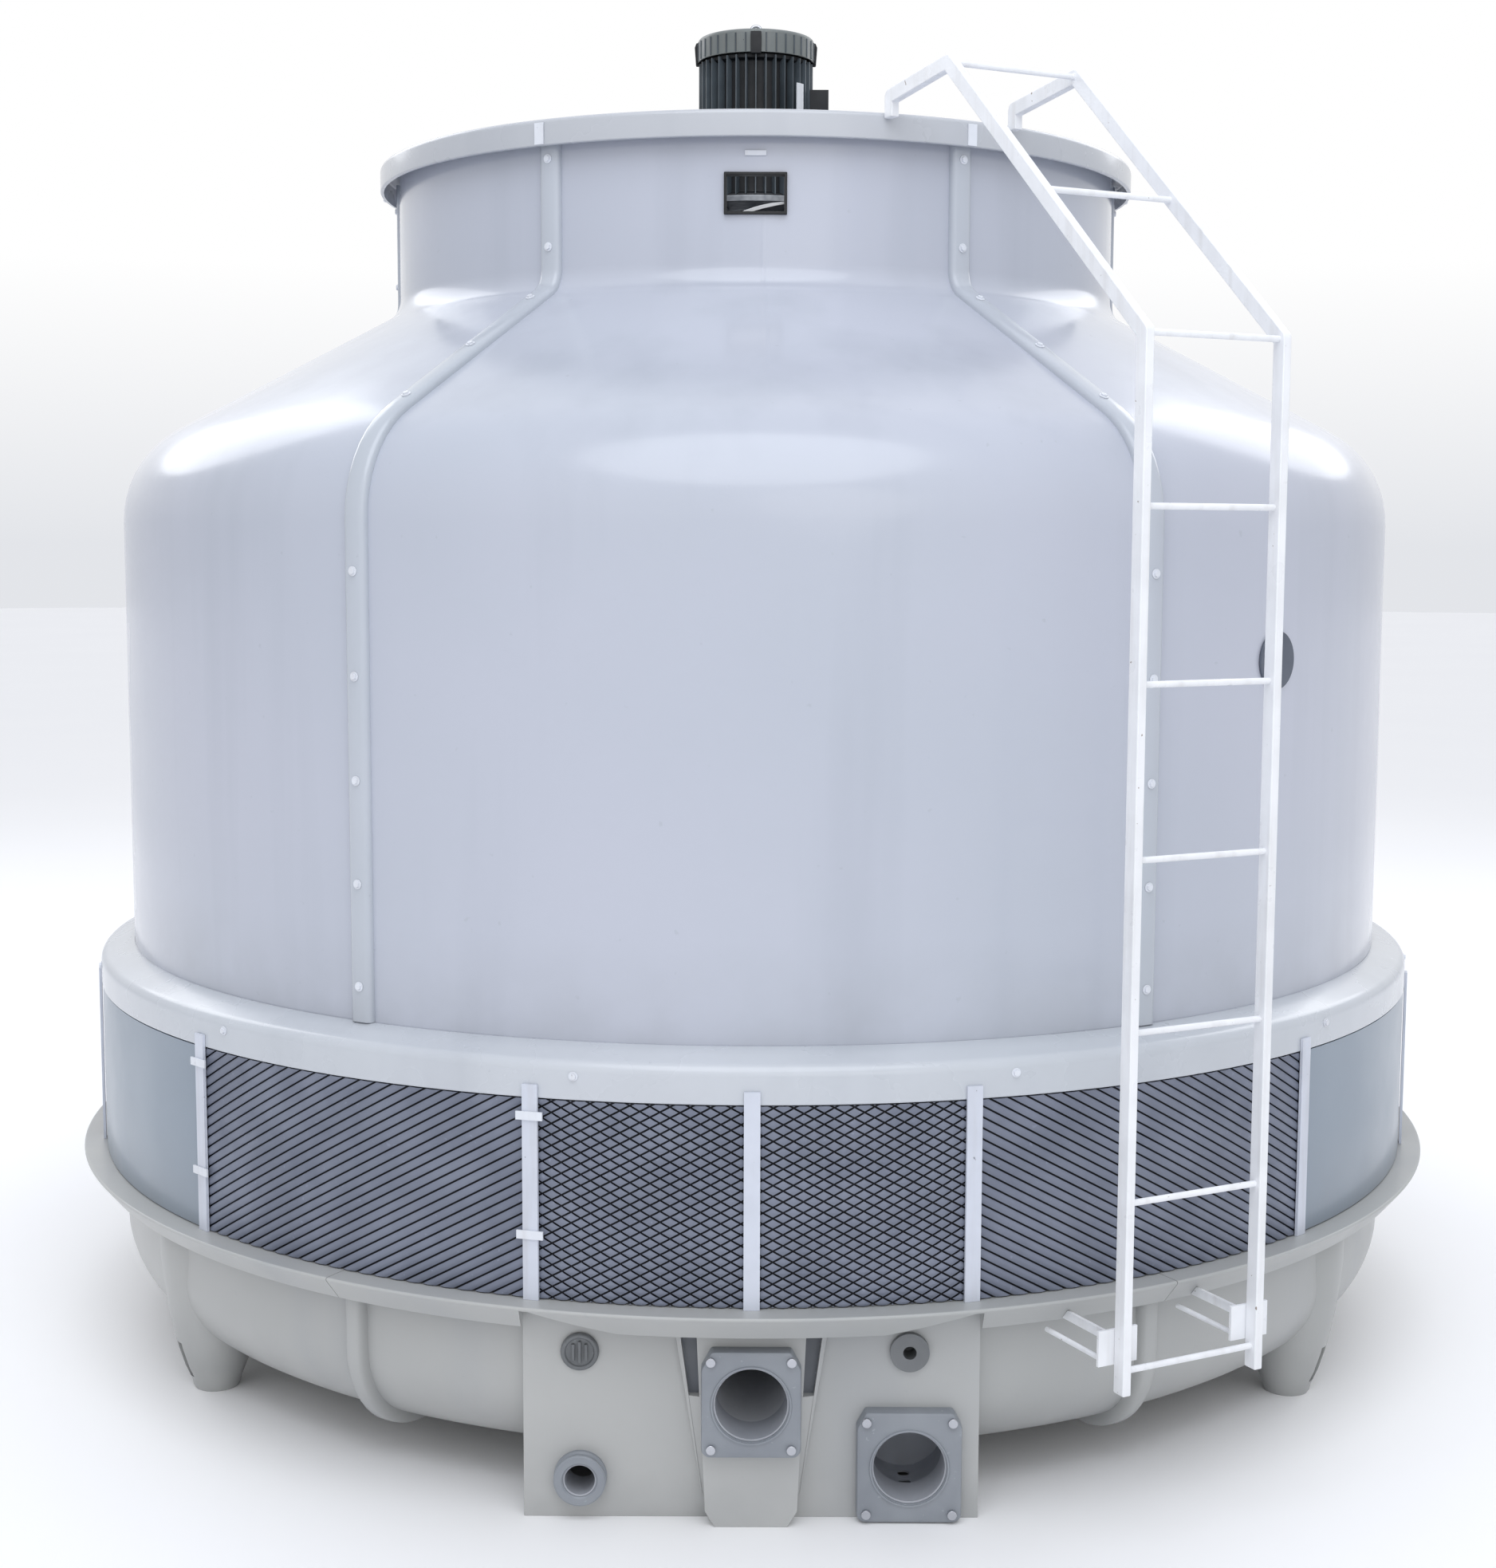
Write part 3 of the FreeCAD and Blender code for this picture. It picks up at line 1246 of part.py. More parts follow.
def build_motor():
    """Finned motor frame, open through its middle for the shaft."""
    body = doc.addObject("PartDesign::Body", "motor_frame")
    core = sketch_on(body, "motor_core_outline", "XY_Plane", lift=motor_foot)
    for radius in (cell("motor_radius"), cell("shaft_radius") + shaft_fit):
        circle = Part.Circle(FreeCAD.Vector(), Z_AXIS, radius.value)
        index = core.addGeometry(circle, False)
        core.addConstraint(Sketcher.Constraint("Coincident", index, 3, *SKETCH_ORIGIN))
        rule = core.addConstraint(Sketcher.Constraint("Radius", index, radius.value))
        bind(core, "Constraints[%d]" % rule, radius)
    pad = body.newObject("PartDesign::Pad", "motor_core")
    pad.Profile = core
    pad.Length = cell("motor_body_height").value
    bind(pad, "Length", cell("motor_body_height"))
    doc.recompute()

    margin = cell("cowl_wall") * 4
    half = cell("motor_fin_width") / 2
    root = cell("motor_radius") - cell("motor_fin_width")
    fin_outline = sketch_on(body, "motor_fin_outline", "XY_Plane", lift=motor_foot + margin)
    draw_outline(fin_outline, [(root, -half), (cell("motor_fin_radius"), -half),
                               (cell("motor_fin_radius"), half), (root, half)])
    fin = body.newObject("PartDesign::Pad", "motor_fin")
    fin.Profile = fin_outline
    fin.Length = value_of(cell("motor_body_height") - margin)
    bind(fin, "Length", cell("motor_body_height") - margin)
    doc.recompute()
    fins = body.newObject("PartDesign::PolarPattern", "motor_fins")
    fins.Originals = [fin]
    fins.Axis = (fin_outline, ["N_Axis"])
    fins.Angle = 360
    fins.Occurrences = int(cell("motor_fin_count").value)
    fins.setExpression("Occurrences", cell("motor_fin_count").text)
    body.Tip = fins
    doc.recompute()
    reach = cell("motor_fin_radius") + 1
    half_seat = cell("terminal_width") / 2 + seat_gap
    seat = box("terminal_seat", (cell("motor_radius") + seat_gap, -half_seat,
                                 terminal_foot - seat_gap),
               (reach, half_seat, terminal_foot + cell("terminal_height") + seat_gap))
    finish("motor_body", cut("motor_with_box_seat", body, seat))

    low_x = cell("motor_radius") + 2 * seat_gap
    half_box = cell("terminal_width") / 2
    chest = box("terminal_chest", (low_x, -half_box, terminal_foot),
                (low_x + cell("terminal_depth"), half_box,
                 terminal_foot + cell("terminal_height")))
    gland = cylinder("terminal_gland", cell("gland_radius"), cell("gland_length"),
                     at=(low_x + cell("terminal_depth") - 1.5 * cell("gland_radius"), 0,
                         terminal_foot - cell("gland_length")))
    finish("terminal_box", fuse("terminal_pieces", [chest, gland]))


def build_cowl():
    """The sheet cowl over the cooling fan, and the eye on top of it."""
    radius = cell("cowl_radius")
    wall = cell("cowl_wall")
    top = motor_top + cell("cowl_height")
    corners = [
        (radius - wall, motor_top),
        (radius, motor_top),
        (radius, top, 3 * wall),
        (0, top),
        (0, top - wall),
        (radius - wall, top - wall, 2 * wall),
    ]
    finish("motor_cowl", turned_body("cowl_sheet", corners))

    eye = doc.addObject("Part::Torus", "eye_ring")
    eye.Radius1 = cell("eye_ring_radius").value
    bind(eye, "Radius1", cell("eye_ring_radius"))
    eye.Radius2 = cell("eye_bar_radius").value
    bind(eye, "Radius2", cell("eye_bar_radius"))
    stem = 2 * cell("eye_bar_radius")
    centre = top + stem + cell("eye_ring_radius")
    place(eye, at=(0, 0, centre), axis=X_AXIS, turn=90)
    shank = cylinder("eye_shank", cell("eye_bar_radius") * 1.5, stem + cell("eye_bar_radius"),
                     at=(0, 0, top))
    finish("lifting_eye", fuse("eye_pieces", [eye, shank]))


def build_motor_support():
    plate_top = motor_foot
    plate_foot = motor_foot - cell("mount_thickness")
    plate = cylinder("mount_disc", cell("mount_radius"), cell("mount_thickness"),
                     at=(0, 0, plate_foot))
    bore = cylinder("mount_hole", cell("mount_bore"), cell("mount_thickness") + 2 * BEYOND,
                    at=(0, 0, plate_foot - BEYOND))
    finish("motor_mount", cut("mount_plate", plate, bore))

    half = cell("arm_width") / 2
    end = neck_radius - panel_wall - seat_gap
    arms = []
    arm_count = int(cell("arm_count").value)
    for index in range(arm_count):
        arm = box("arm_bar_%d" % index, (cell("arm_inner_radius"), -half, plate_foot - 2 * half),
                  (end, half, plate_foot))
        arms.append(place(group("arm_%d" % index, [arm]), turn=(index + 0.5) * 360 / arm_count))
    clear = common("arms_trimmed", group("all_arms", arms),
                   cylinder("arm_limit", end, plate_top))
    finish("support_arms", clear)


def blade_section(radius, chord, thickness, pitch):
    """A closed, slightly arched section of a blade that reaches along +X."""
    camber = 0.06 * chord
    upper = [(-0.5, 0.0), (-0.2, 0.9), (0.2, 1.0), (0.5, 0.0)]
    lower = [(0.5, 0.0), (0.2, 0.2), (-0.2, 0.15), (-0.5, 0.0)]
    edges = []
    for curve, lift in ((upper, thickness), (lower, -thickness / 2)):
        points = [FreeCAD.Vector(radius, share * chord,
                                 rise * lift + camber * (1 - 4 * share * share))
                  for share, rise in curve]
        spline = Part.BSplineCurve()
        spline.interpolate(points)
        edges.append(spline.toShape())
    wire = Part.Wire(edges)
    wire.rotate(FreeCAD.Vector(), X_AXIS, pitch)
    return wire


def build_fan():
    radius = cell("shaft_radius")
    cooling_foot = motor_top + cell("cowl_wall") * 4
    shaft_top = cooling_foot + cell("cooling_fan_height")
    finish("motor_shaft", cylinder("motor_shaft_bar", radius, shaft_top - shaft_foot,
                                   at=(0, 0, shaft_foot)))

    bore_radius = radius + shaft_fit
    cooling_hub = cylinder("cooling_hub", 2 * radius, cell("cooling_fan_height"),
                           at=(0, 0, cooling_foot))
    vanes = []
    vane_count = int(cell("cooling_vane_count").value)
    half_vane = cell("cooling_vane_thickness") / 2
    for index in range(vane_count):
        vane = box("cooling_vane_bar_%d" % index, (radius * 1.5, -half_vane, cooling_foot),
                   (cell("cooling_fan_radius"), half_vane,
                    cooling_foot + cell("cooling_fan_height")))
        vanes.append(place(group("cooling_vane_%d" % index, [vane]),
                           turn=360 * index / vane_count))
    bore = cylinder("cooling_bore", bore_radius, cell("cooling_fan_height") + 2 * BEYOND,
                    at=(0, 0, cooling_foot - BEYOND))
    wheel = fuse("cooling_wheel", [cooling_hub] + vanes)
    finish("cooling_fan", cut("cooling_wheel_bored", wheel, bore))

    hub_middle = hub_foot + cell("hub_height") / 2
    hub = cylinder("hub_drum", cell("hub_radius"), cell("hub_height"), at=(0, 0, hub_foot))
    hub_bore = cylinder("hub_bore", bore_radius, cell("hub_height") + 2 * BEYOND,
                        at=(0, 0, hub_foot - BEYOND))
    finish("fan_hub", cut("hub_bored", hub, hub_bore))

    tip = neck_radius.value - panel_wall.value - cell("blade_tip_gap").value
    root = cell("blade_root_radius").value
    sections = [
        blade_section(root, cell("blade_root_chord").value, cell("blade_root_thickness").value,
                      cell("blade_root_pitch").value),
        blade_section(tip, cell("blade_tip_chord").value, cell("blade_tip_thickness").value,
                      cell("blade_tip_pitch").value),
    ]
    shank_radius = cell("blade_shank_radius").value
    shank_start = cell("hub_radius").value
    blade = Part.makeLoft(sections, True, True)
    shank = Part.makeCylinder(shank_radius, root - shank_start + shank_radius,
                              FreeCAD.Vector(shank_start + seat_gap.value, 0, 0), X_AXIS)
    blade = blade.fuse(shank)
    blade.translate(FreeCAD.Vector(0, 0, hub_middle.value))
    count = int(cell("blade_count").value)
    blades = []
    for index in range(count):
        turned = blade.copy()
        turned.rotate(FreeCAD.Vector(), Z_AXIS, 360 * index / count)
        blades.append(turned)
    finish("fan_blades", computed("all_blades", Part.makeCompound(blades)))


# --------------------------------------------------- sprinkler and fill

def build_sprinkler():
    lid_top = riser_top + cell("pipe_wall")
    foot = lid_top + cell("head_lift")
    drum = cylinder("sprinkler_drum", cell("head_radius"), cell("head_height"), at=(0, 0, foot))
    well = cylinder("sprinkler_well", cell("spindle_radius") + shaft_fit,
                    cell("spindle_height") - cell("head_lift"), at=(0, 0, foot - 1))
    arm_level = foot + cell("head_height") / 2
    finish("sprinkler_head", cut("sprinkler_drum_bored", drum, well))

    start = cell("head_radius") + seat_gap
    reach = sprinkler_reach
    radius = cell("sprinkler_arm_radius")
    count = int(cell("sprinkler_arm_count").value)
    holes_per_arm = int((reach.value - start.value) / cell("sprinkler_hole_pitch").value)
    arms = []
    for index in range(count):
        arm = cylinder("sprinkler_tube_%d" % index, radius, reach - start,
                       at=(start, 0, arm_level), axis=Y_AXIS, turn=90)
        holes = [cylinder("spray_hole_%d_%d" % (index, step), cell("sprinkler_hole_radius"),
                          1.2 * radius,
                          at=(start + (step + 0.5) * cell("sprinkler_hole_pitch"), 0,
                              arm_level - 1.1 * radius))
                 for step in range(holes_per_arm)]
        pierced = cut("sprinkler_arm_%d" % index, arm, fuse("spray_holes_%d" % index, holes))
        arms.append(place(pierced, turn=360 * index / count))
    finish("sprinkler_arms", group("all_sprinkler_arms", arms))


def fill_layer(foot):
    """One layer of fill: rolled sheets, shown as rings, held by sheets across them."""
    inner = cell("fill_inner_radius").value
    outer = (casing_radius - panel_wall - cell("fill_edge_gap")).value
    height = cell("fill_block_height").value
    thick = cell("fill_sheet").value
    rings = int(cell("fill_ring_count").value)
    spokes = int(cell("fill_spokes").value)
    base = FreeCAD.Vector(0, 0, foot)
    sheets = []
    for index in range(rings):
        radius = inner + thick + (outer - inner - thick) * index / (rings - 1)
        solid = Part.makeCylinder(radius, height, base)
        sheets.append(solid.cut(Part.makeCylinder(radius - thick, height, base)))
    for index in range(spokes):
        strip = Part.makeBox(outer - inner - thick, thick, height,
                             FreeCAD.Vector(inner + thick / 2, -thick / 2, foot))
        strip.rotate(FreeCAD.Vector(), Z_AXIS, (index + 0.5) * 360 / spokes)
        sheets.append(strip)
    return sheets[0].multiFuse(sheets[1:])


def build_fill():
    foot = fill_foot.value
    step = cell("fill_block_height").value + cell("fill_joint").value
    finish("fill_lower", computed("fill_lower_layer", fill_layer(foot)))
    finish("fill_upper", computed("fill_upper_layer", fill_layer(foot + step)))


def build_fill_support():
    """A grid of bars under the fill, on legs that stand in the pan."""
    top = fill_foot - seat_gap
    foot = top - cell("grid_depth")
    half = cell("grid_bar") / 2
    inner = cell("fill_inner_radius")
    outer = casing_radius - panel_wall - cell("fill_edge_gap")
    ring = cell("grid_leg_ring")
    pieces = []
    for name, radius in (("inner", inner + 2 * half), ("middle", ring + half),
                         ("outer", outer)):
        solid = cylinder("grid_%s_outside" % name, radius, cell("grid_depth"), at=(0, 0, foot))
        hollow = cylinder("grid_%s_inside" % name, radius - 2 * half, cell("grid_depth"),
                          at=(0, 0, foot))
        pieces.append(cut("grid_%s_ring" % name, solid, hollow))
    spoke_count = int(cell("fill_spokes").value)
    for index in range(spoke_count):
        turn = 360 * index / spoke_count
        bar = box("grid_spoke_bar_%d" % index, (inner + half, -half, foot),
                  (outer - half, half, top))
        pieces.append(place(group("grid_spoke_%d" % index, [bar]), turn=turn))
        leg = cylinder("grid_leg_tube_%d" % index, cell("grid_leg_radius"),
                       top - half - pan_floor - seat_gap, at=(ring, 0, pan_floor + seat_gap))
        pieces.append(place(group("grid_leg_%d" % index, [leg]), turn=turn))
    finish("fill_support", fuse("fill_grid", pieces))


# ----------------------------------------------------------- everything

def check_document():
    """Stops the build if any object failed or any sub-part is empty or invalid."""
    for thing in doc.Objects:
        if "Invalid" in thing.State or "Error" in thing.State:
            raise RuntimeError("failed object: %s %s" % (thing.Name, thing.State))
    for part in FINISHED:
        if part.Shape.isNull() or not part.Shape.isValid():
            raise RuntimeError("bad shape: " + part.Label)


def write_parts():
    os.makedirs("parts", exist_ok=True)
    for part in FINISHED:
        part.Shape.exportStep("parts/%s.step" % part.Label)


build_casing()
build_straps()
build_casing_bolts()
build_stack_rim()
build_skirt()
build_basin()
build_legs()
build_sump()
build_connections()
build_riser()
build_screens()
build_posts()
build_stays()
build_ladder()
build_motor()
build_cowl()
build_motor_support()
build_fan()
build_sprinkler()
build_fill()
build_fill_support()
doc.recompute()
check_document()
write_parts()
print("%d sub-parts written" % len(FINISHED))
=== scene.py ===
"""Looks for the round cooling tower.

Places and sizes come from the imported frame, in metres: Z is up, the water
connections look towards -Y, and angles run from the front towards +X.
"""
import math

import bmesh
import bpy
from mathutils import Matrix, Vector, noise


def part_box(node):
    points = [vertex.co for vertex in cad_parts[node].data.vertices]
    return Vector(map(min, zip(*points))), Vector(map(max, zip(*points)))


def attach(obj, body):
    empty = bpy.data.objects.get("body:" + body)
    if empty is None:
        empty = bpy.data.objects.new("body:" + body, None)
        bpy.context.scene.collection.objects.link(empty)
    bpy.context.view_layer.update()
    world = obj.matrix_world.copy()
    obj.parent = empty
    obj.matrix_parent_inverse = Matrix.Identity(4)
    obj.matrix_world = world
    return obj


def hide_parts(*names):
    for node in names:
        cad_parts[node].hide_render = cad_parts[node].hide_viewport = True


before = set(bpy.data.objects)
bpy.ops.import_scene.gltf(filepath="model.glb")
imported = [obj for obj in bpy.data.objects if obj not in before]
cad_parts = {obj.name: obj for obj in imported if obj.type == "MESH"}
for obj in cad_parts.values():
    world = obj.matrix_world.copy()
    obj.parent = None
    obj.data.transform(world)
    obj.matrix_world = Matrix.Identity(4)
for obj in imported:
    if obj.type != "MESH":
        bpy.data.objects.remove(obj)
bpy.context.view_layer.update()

TOWER = "tower"
PANELS = 6
SEAM = 0.03                      # degrees left open between two mouldings
TURN_STEP = 1.5                  # degrees from section to section of a moulding
ARC_STEP = math.radians(7)       # most that one step of a rounded corner turns
MERGE = 2e-5                     # points this near are one
GAP = 0.0003                     # clearance between two mouldings that touch
JOINTS = [30 + 60 * index for index in range(PANELS)]


def low(node):
    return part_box(node)[0]


def high(node):
    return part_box(node)[1]


def middle(node):
    return (low(node) + high(node)) / 2


# ------------------------------------------------------------ mesh helpers

def rounded(corners):
    """Points along corners (a, b[, round]), with the round corners as arcs."""
    points = []
    for index, corner in enumerate(corners):
        here = Vector(corner[:2])
        if len(corner) < 3:
            points.append(here)
            continue
        into = (here - Vector(corners[index - 1][:2])).normalized()
        away = (Vector(corners[(index + 1) % len(corners)][:2]) - here).normalized()
        turn = into.angle(away)
        side = 1 if into.cross(away) > 0 else -1
        start = here - into * corner[2] * math.tan(turn / 2)
        spoke = Vector((into.y, -into.x)) * side * corner[2]
        centre = start - spoke
        steps = max(2, math.ceil(turn / ARC_STEP))
        points += [centre + Matrix.Rotation(side * turn * step / steps, 2) @ spoke
                   for step in range(steps + 1)]
    return points


def divided(points, longest):
    """The same run of points, with long stretches cut into equal steps."""
    result = [points[0]]
    for start, end in zip(points, points[1:]):
        steps = max(1, math.ceil((end - start).length / longest))
        result += [start.lerp(end, step / steps) for step in range(1, steps + 1)]
    return result


def side_normals(path):
    """The outward direction at each point of a path that climbs."""
    normals = []
    for index in range(len(path)):
        along = path[min(index + 1, len(path) - 1)] - path[max(index - 1, 0)]
        normals.append(Vector((along.y, -along.x)).normalized())
    return normals


def sheet_outline(inner, outer, foot, top):
    """The outline of a plain sheet that stands between two radii."""
    return rounded([(inner, foot), (outer, foot), (outer, top), (inner, top)])


def walled(path, wall):
    """A closed outline: the path and, inside it, the same path one wall away."""
    inner = [point - normal * wall for point, normal in zip(path, side_normals(path))]
    return path + inner[::-1]


def steps_between(start, end, step):
    count = max(1, round((end - start) / step))
    return [start + (end - start) * index / count for index in range(count + 1)]


def at_angle(angle, radius, height):
    """The point at an angle in degrees from the front, a radius and a height."""
    turn = math.radians(angle)
    return Vector((radius * math.sin(turn), -radius * math.cos(turn), height))


def panel_angles(index):
    """Where the sections of one of the six mouldings stand, counted from the front."""
    return steps_between(60 * index - 30 + SEAM, 60 * index + 30 - SEAM, TURN_STEP)


def turned(outline, angles, shift=None):
    """A closed outline of (radius, height) points, turned through the angles."""
    bm = bmesh.new()
    whole = abs(angles[-1] - angles[0] - 360) < SEAM / 2
    if whole:
        angles = angles[:-1]
    rings = []
    for angle in angles:
        ring = []
        for point in outline:
            place = at_angle(angle, max(point.x, 0), point.y)
            if shift:
                place += at_angle(angle, 1, 0) * shift(angle, point)
            ring.append(bm.verts.new(place))
        rings.append(ring)
    pairs = list(zip(rings, rings[1:] + rings[:1])) if whole else list(zip(rings, rings[1:]))
    count = len(outline)
    for left, right in pairs:
        for index in range(count):
            after = (index + 1) % count
            bm.faces.new((left[index], right[index], right[after], left[after]))
    if not whole:
        bm.faces.new(rings[0])
        bm.faces.new(rings[-1][::-1])
    return bm


def lofted(rings, closed=False):
    """Rings of points joined one after the other, capped at both ends or closed in a loop."""
    bm = bmesh.new()
    made = [[bm.verts.new(point) for point in ring] for ring in rings]
    for left, right in zip(made, made[1:] + made[:1] if closed else made[1:]):
        for index in range(len(left)):
            after = (index + 1) % len(left)
            bm.faces.new((left[index], left[after], right[after], right[index]))
    if not closed:
        bm.faces.new(made[0][::-1])
        bm.faces.new(made[-1])
    return bm


def block(low_corner, high_corner):
    """A bare block, used as a cutting tool or softened before use."""
    bm = bmesh.new()
    bmesh.ops.create_cube(bm, size=1)
    size = Vector(high_corner) - Vector(low_corner)
    centre = (Vector(high_corner) + Vector(low_corner)) / 2
    bmesh.ops.scale(bm, vec=size, verts=bm.verts)
    bmesh.ops.translate(bm, vec=centre, verts=bm.verts)
    return bm


def rod(start, end, radius, sides=20, taper=1.0):
    """A round bar between two points."""
    bm = bmesh.new()
    along = end - start
    bmesh.ops.create_cone(bm, cap_ends=True, segments=sides, radius1=radius,
                          radius2=radius * taper, depth=along.length)
    bmesh.ops.rotate(bm, verts=bm.verts, matrix=along.to_track_quat("Z", "Y").to_matrix())
    bmesh.ops.translate(bm, vec=(start + end) / 2, verts=bm.verts)
    return bm


def merged(parts):
    """Several bmeshes as one."""
    whole = bmesh.new()
    for part in parts:
        carrier = bpy.data.meshes.new("carrier")
        part.to_mesh(carrier)
        part.free()
        whole.from_mesh(carrier)
        bpy.data.meshes.remove(carrier)
    return whole


def welded(node):
    """A CAD node's shape with its doubled points joined."""
    bm = bmesh.new()
    bm.from_mesh(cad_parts[node].data)
    bmesh.ops.remove_doubles(bm, verts=bm.verts, dist=MERGE)
    return bm


def turn_about_axis(bm, angle):
    bmesh.ops.rotate(bm, verts=bm.verts, cent=(0, 0, 0),
                     matrix=Matrix.Rotation(math.radians(angle), 3, "Z"))
    return bm


def to_object(name, bm, material, sharp=40):
    """A finished mesh object: doubles merged, faces outward, smooth but for sharp edges."""
    bmesh.ops.remove_doubles(bm, verts=bm.verts, dist=MERGE)
    bmesh.ops.dissolve_degenerate(bm, edges=bm.edges, dist=MERGE / 2)
    bmesh.ops.recalc_face_normals(bm, faces=bm.faces)
    mesh = bpy.data.meshes.new(name)
    bm.to_mesh(mesh)
    bm.free()
    return smooth_object(name, mesh, material, sharp)


def smooth_object(name, mesh, material, sharp=40):
    thing = bpy.data.objects.new(name, mesh)
    bpy.context.scene.collection.objects.link(thing)
    mesh.polygons.foreach_set("use_smooth", [True] * len(mesh.polygons))
    mesh.set_sharp_from_angle(angle=math.radians(sharp))
    mesh.materials.clear()
    mesh.materials.append(material)
    return thing


def apply_modifiers(thing):
    """Replaces a piece's mesh by what its modifiers make of it."""
    scene_now = bpy.context.evaluated_depsgraph_get()
    plain = bpy.data.meshes.new_from_object(thing.evaluated_get(scene_now))
    thing.modifiers.clear()
    thing.data = plain
    return thing


def bevelled(thing, width, segments=3):
    bevel = thing.modifiers.new("edges", "BEVEL")
    bevel.width = width
    bevel.segments = segments
    bevel.limit_method = "ANGLE"
    bevel.angle_limit = math.radians(35)
    bevel.use_clamp_overlap = True
    bevel.harden_normals = True
    return apply_modifiers(thing)


def cut_with(thing, tool):
    """Cuts a closed bmesh tool out of a piece."""
    mesh = bpy.data.meshes.new("tool")
    bmesh.ops.recalc_face_normals(tool, faces=tool.faces)
    tool.to_mesh(mesh)
    tool.free()
    cutter = bpy.data.objects.new("tool", mesh)
    bpy.context.scene.collection.objects.link(cutter)
    hole = thing.modifiers.new("cut", "BOOLEAN")
    hole.operation = "DIFFERENCE"
    hole.solver = "EXACT"
    hole.object = cutter
    apply_modifiers(thing)
    bpy.data.objects.remove(cutter)
    thing.data.set_sharp_from_angle(angle=math.radians(40))
    return thing


def settle(thing, body, slot, *nodes):
    """Rides the piece on its body and lets it stand for its CAD nodes."""
    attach(thing, body)
    if nodes:
        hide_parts(*nodes)
    return thing


def softened(node, material, body, slot, width, segments=2):
    """A CAD node's own shape with its edges rounded as they are on the real piece."""
    bm = welded(node)
    bmesh.ops.dissolve_limit(bm, angle_limit=math.radians(1.5), verts=bm.verts,
                             edges=bm.edges, use_dissolve_boundaries=False)
    mesh = bpy.data.meshes.new(node + "_shape")
    bm.to_mesh(mesh)
    bm.free()
    thing = smooth_object(node + "_shape", mesh, material)
    if width:
        bevelled(thing, width, segments)
    return settle(thing, body, slot, node)


# ------------------------------------------------------------ node helpers

class Nodes:
    """Adds nodes to a tree and wires their inputs by name or number."""

    def __init__(self, tree):
        self.tree = tree

    def add(self, kind, inputs=None, **settings):
        node = self.tree.nodes.new(kind)
        for key, value in settings.items():
            setattr(node, key, value)
        for key, value in (inputs or {}).items():
            for source in value if isinstance(value, list) else [value]:
                if isinstance(source, bpy.types.NodeSocket):
                    self.tree.links.new(source, node.inputs[key])
                else:
                    node.inputs[key].default_value = source
        return node

    def math(self, operation, first, second=0.0):
        return self.add("ShaderNodeMath", {0: first, 1: second}, operation=operation).outputs[0]

    def times(self, first, second):
        return self.math("MULTIPLY", first, second)

    def split(self, vector):
        return self.add("ShaderNodeSeparateXYZ", {0: vector}).outputs

    def ranged(self, value, start, end, low_out=0.0, high_out=1.0):
        return self.add("ShaderNodeMapRange", {
            "Value": value, "From Min": start, "From Max": end, "To Min": low_out,
            "To Max": high_out}, clamp=True).outputs["Result"]

    def mixed(self, share, first, second):
        return self.add("ShaderNodeMixRGB", {
            "Fac": share, "Color1": first, "Color2": second}).outputs["Color"]


def srgb(red, green, blue):
    """A display colour, 0 to 255, as linear light."""
    def linear(part):
        part /= 255
        return part / 12.92 if part <= 0.04045 else ((part + 0.055) / 1.055) ** 2.4
    return (linear(red), linear(green), linear(blue), 1)


# ------------------------------------------------------------ finishes

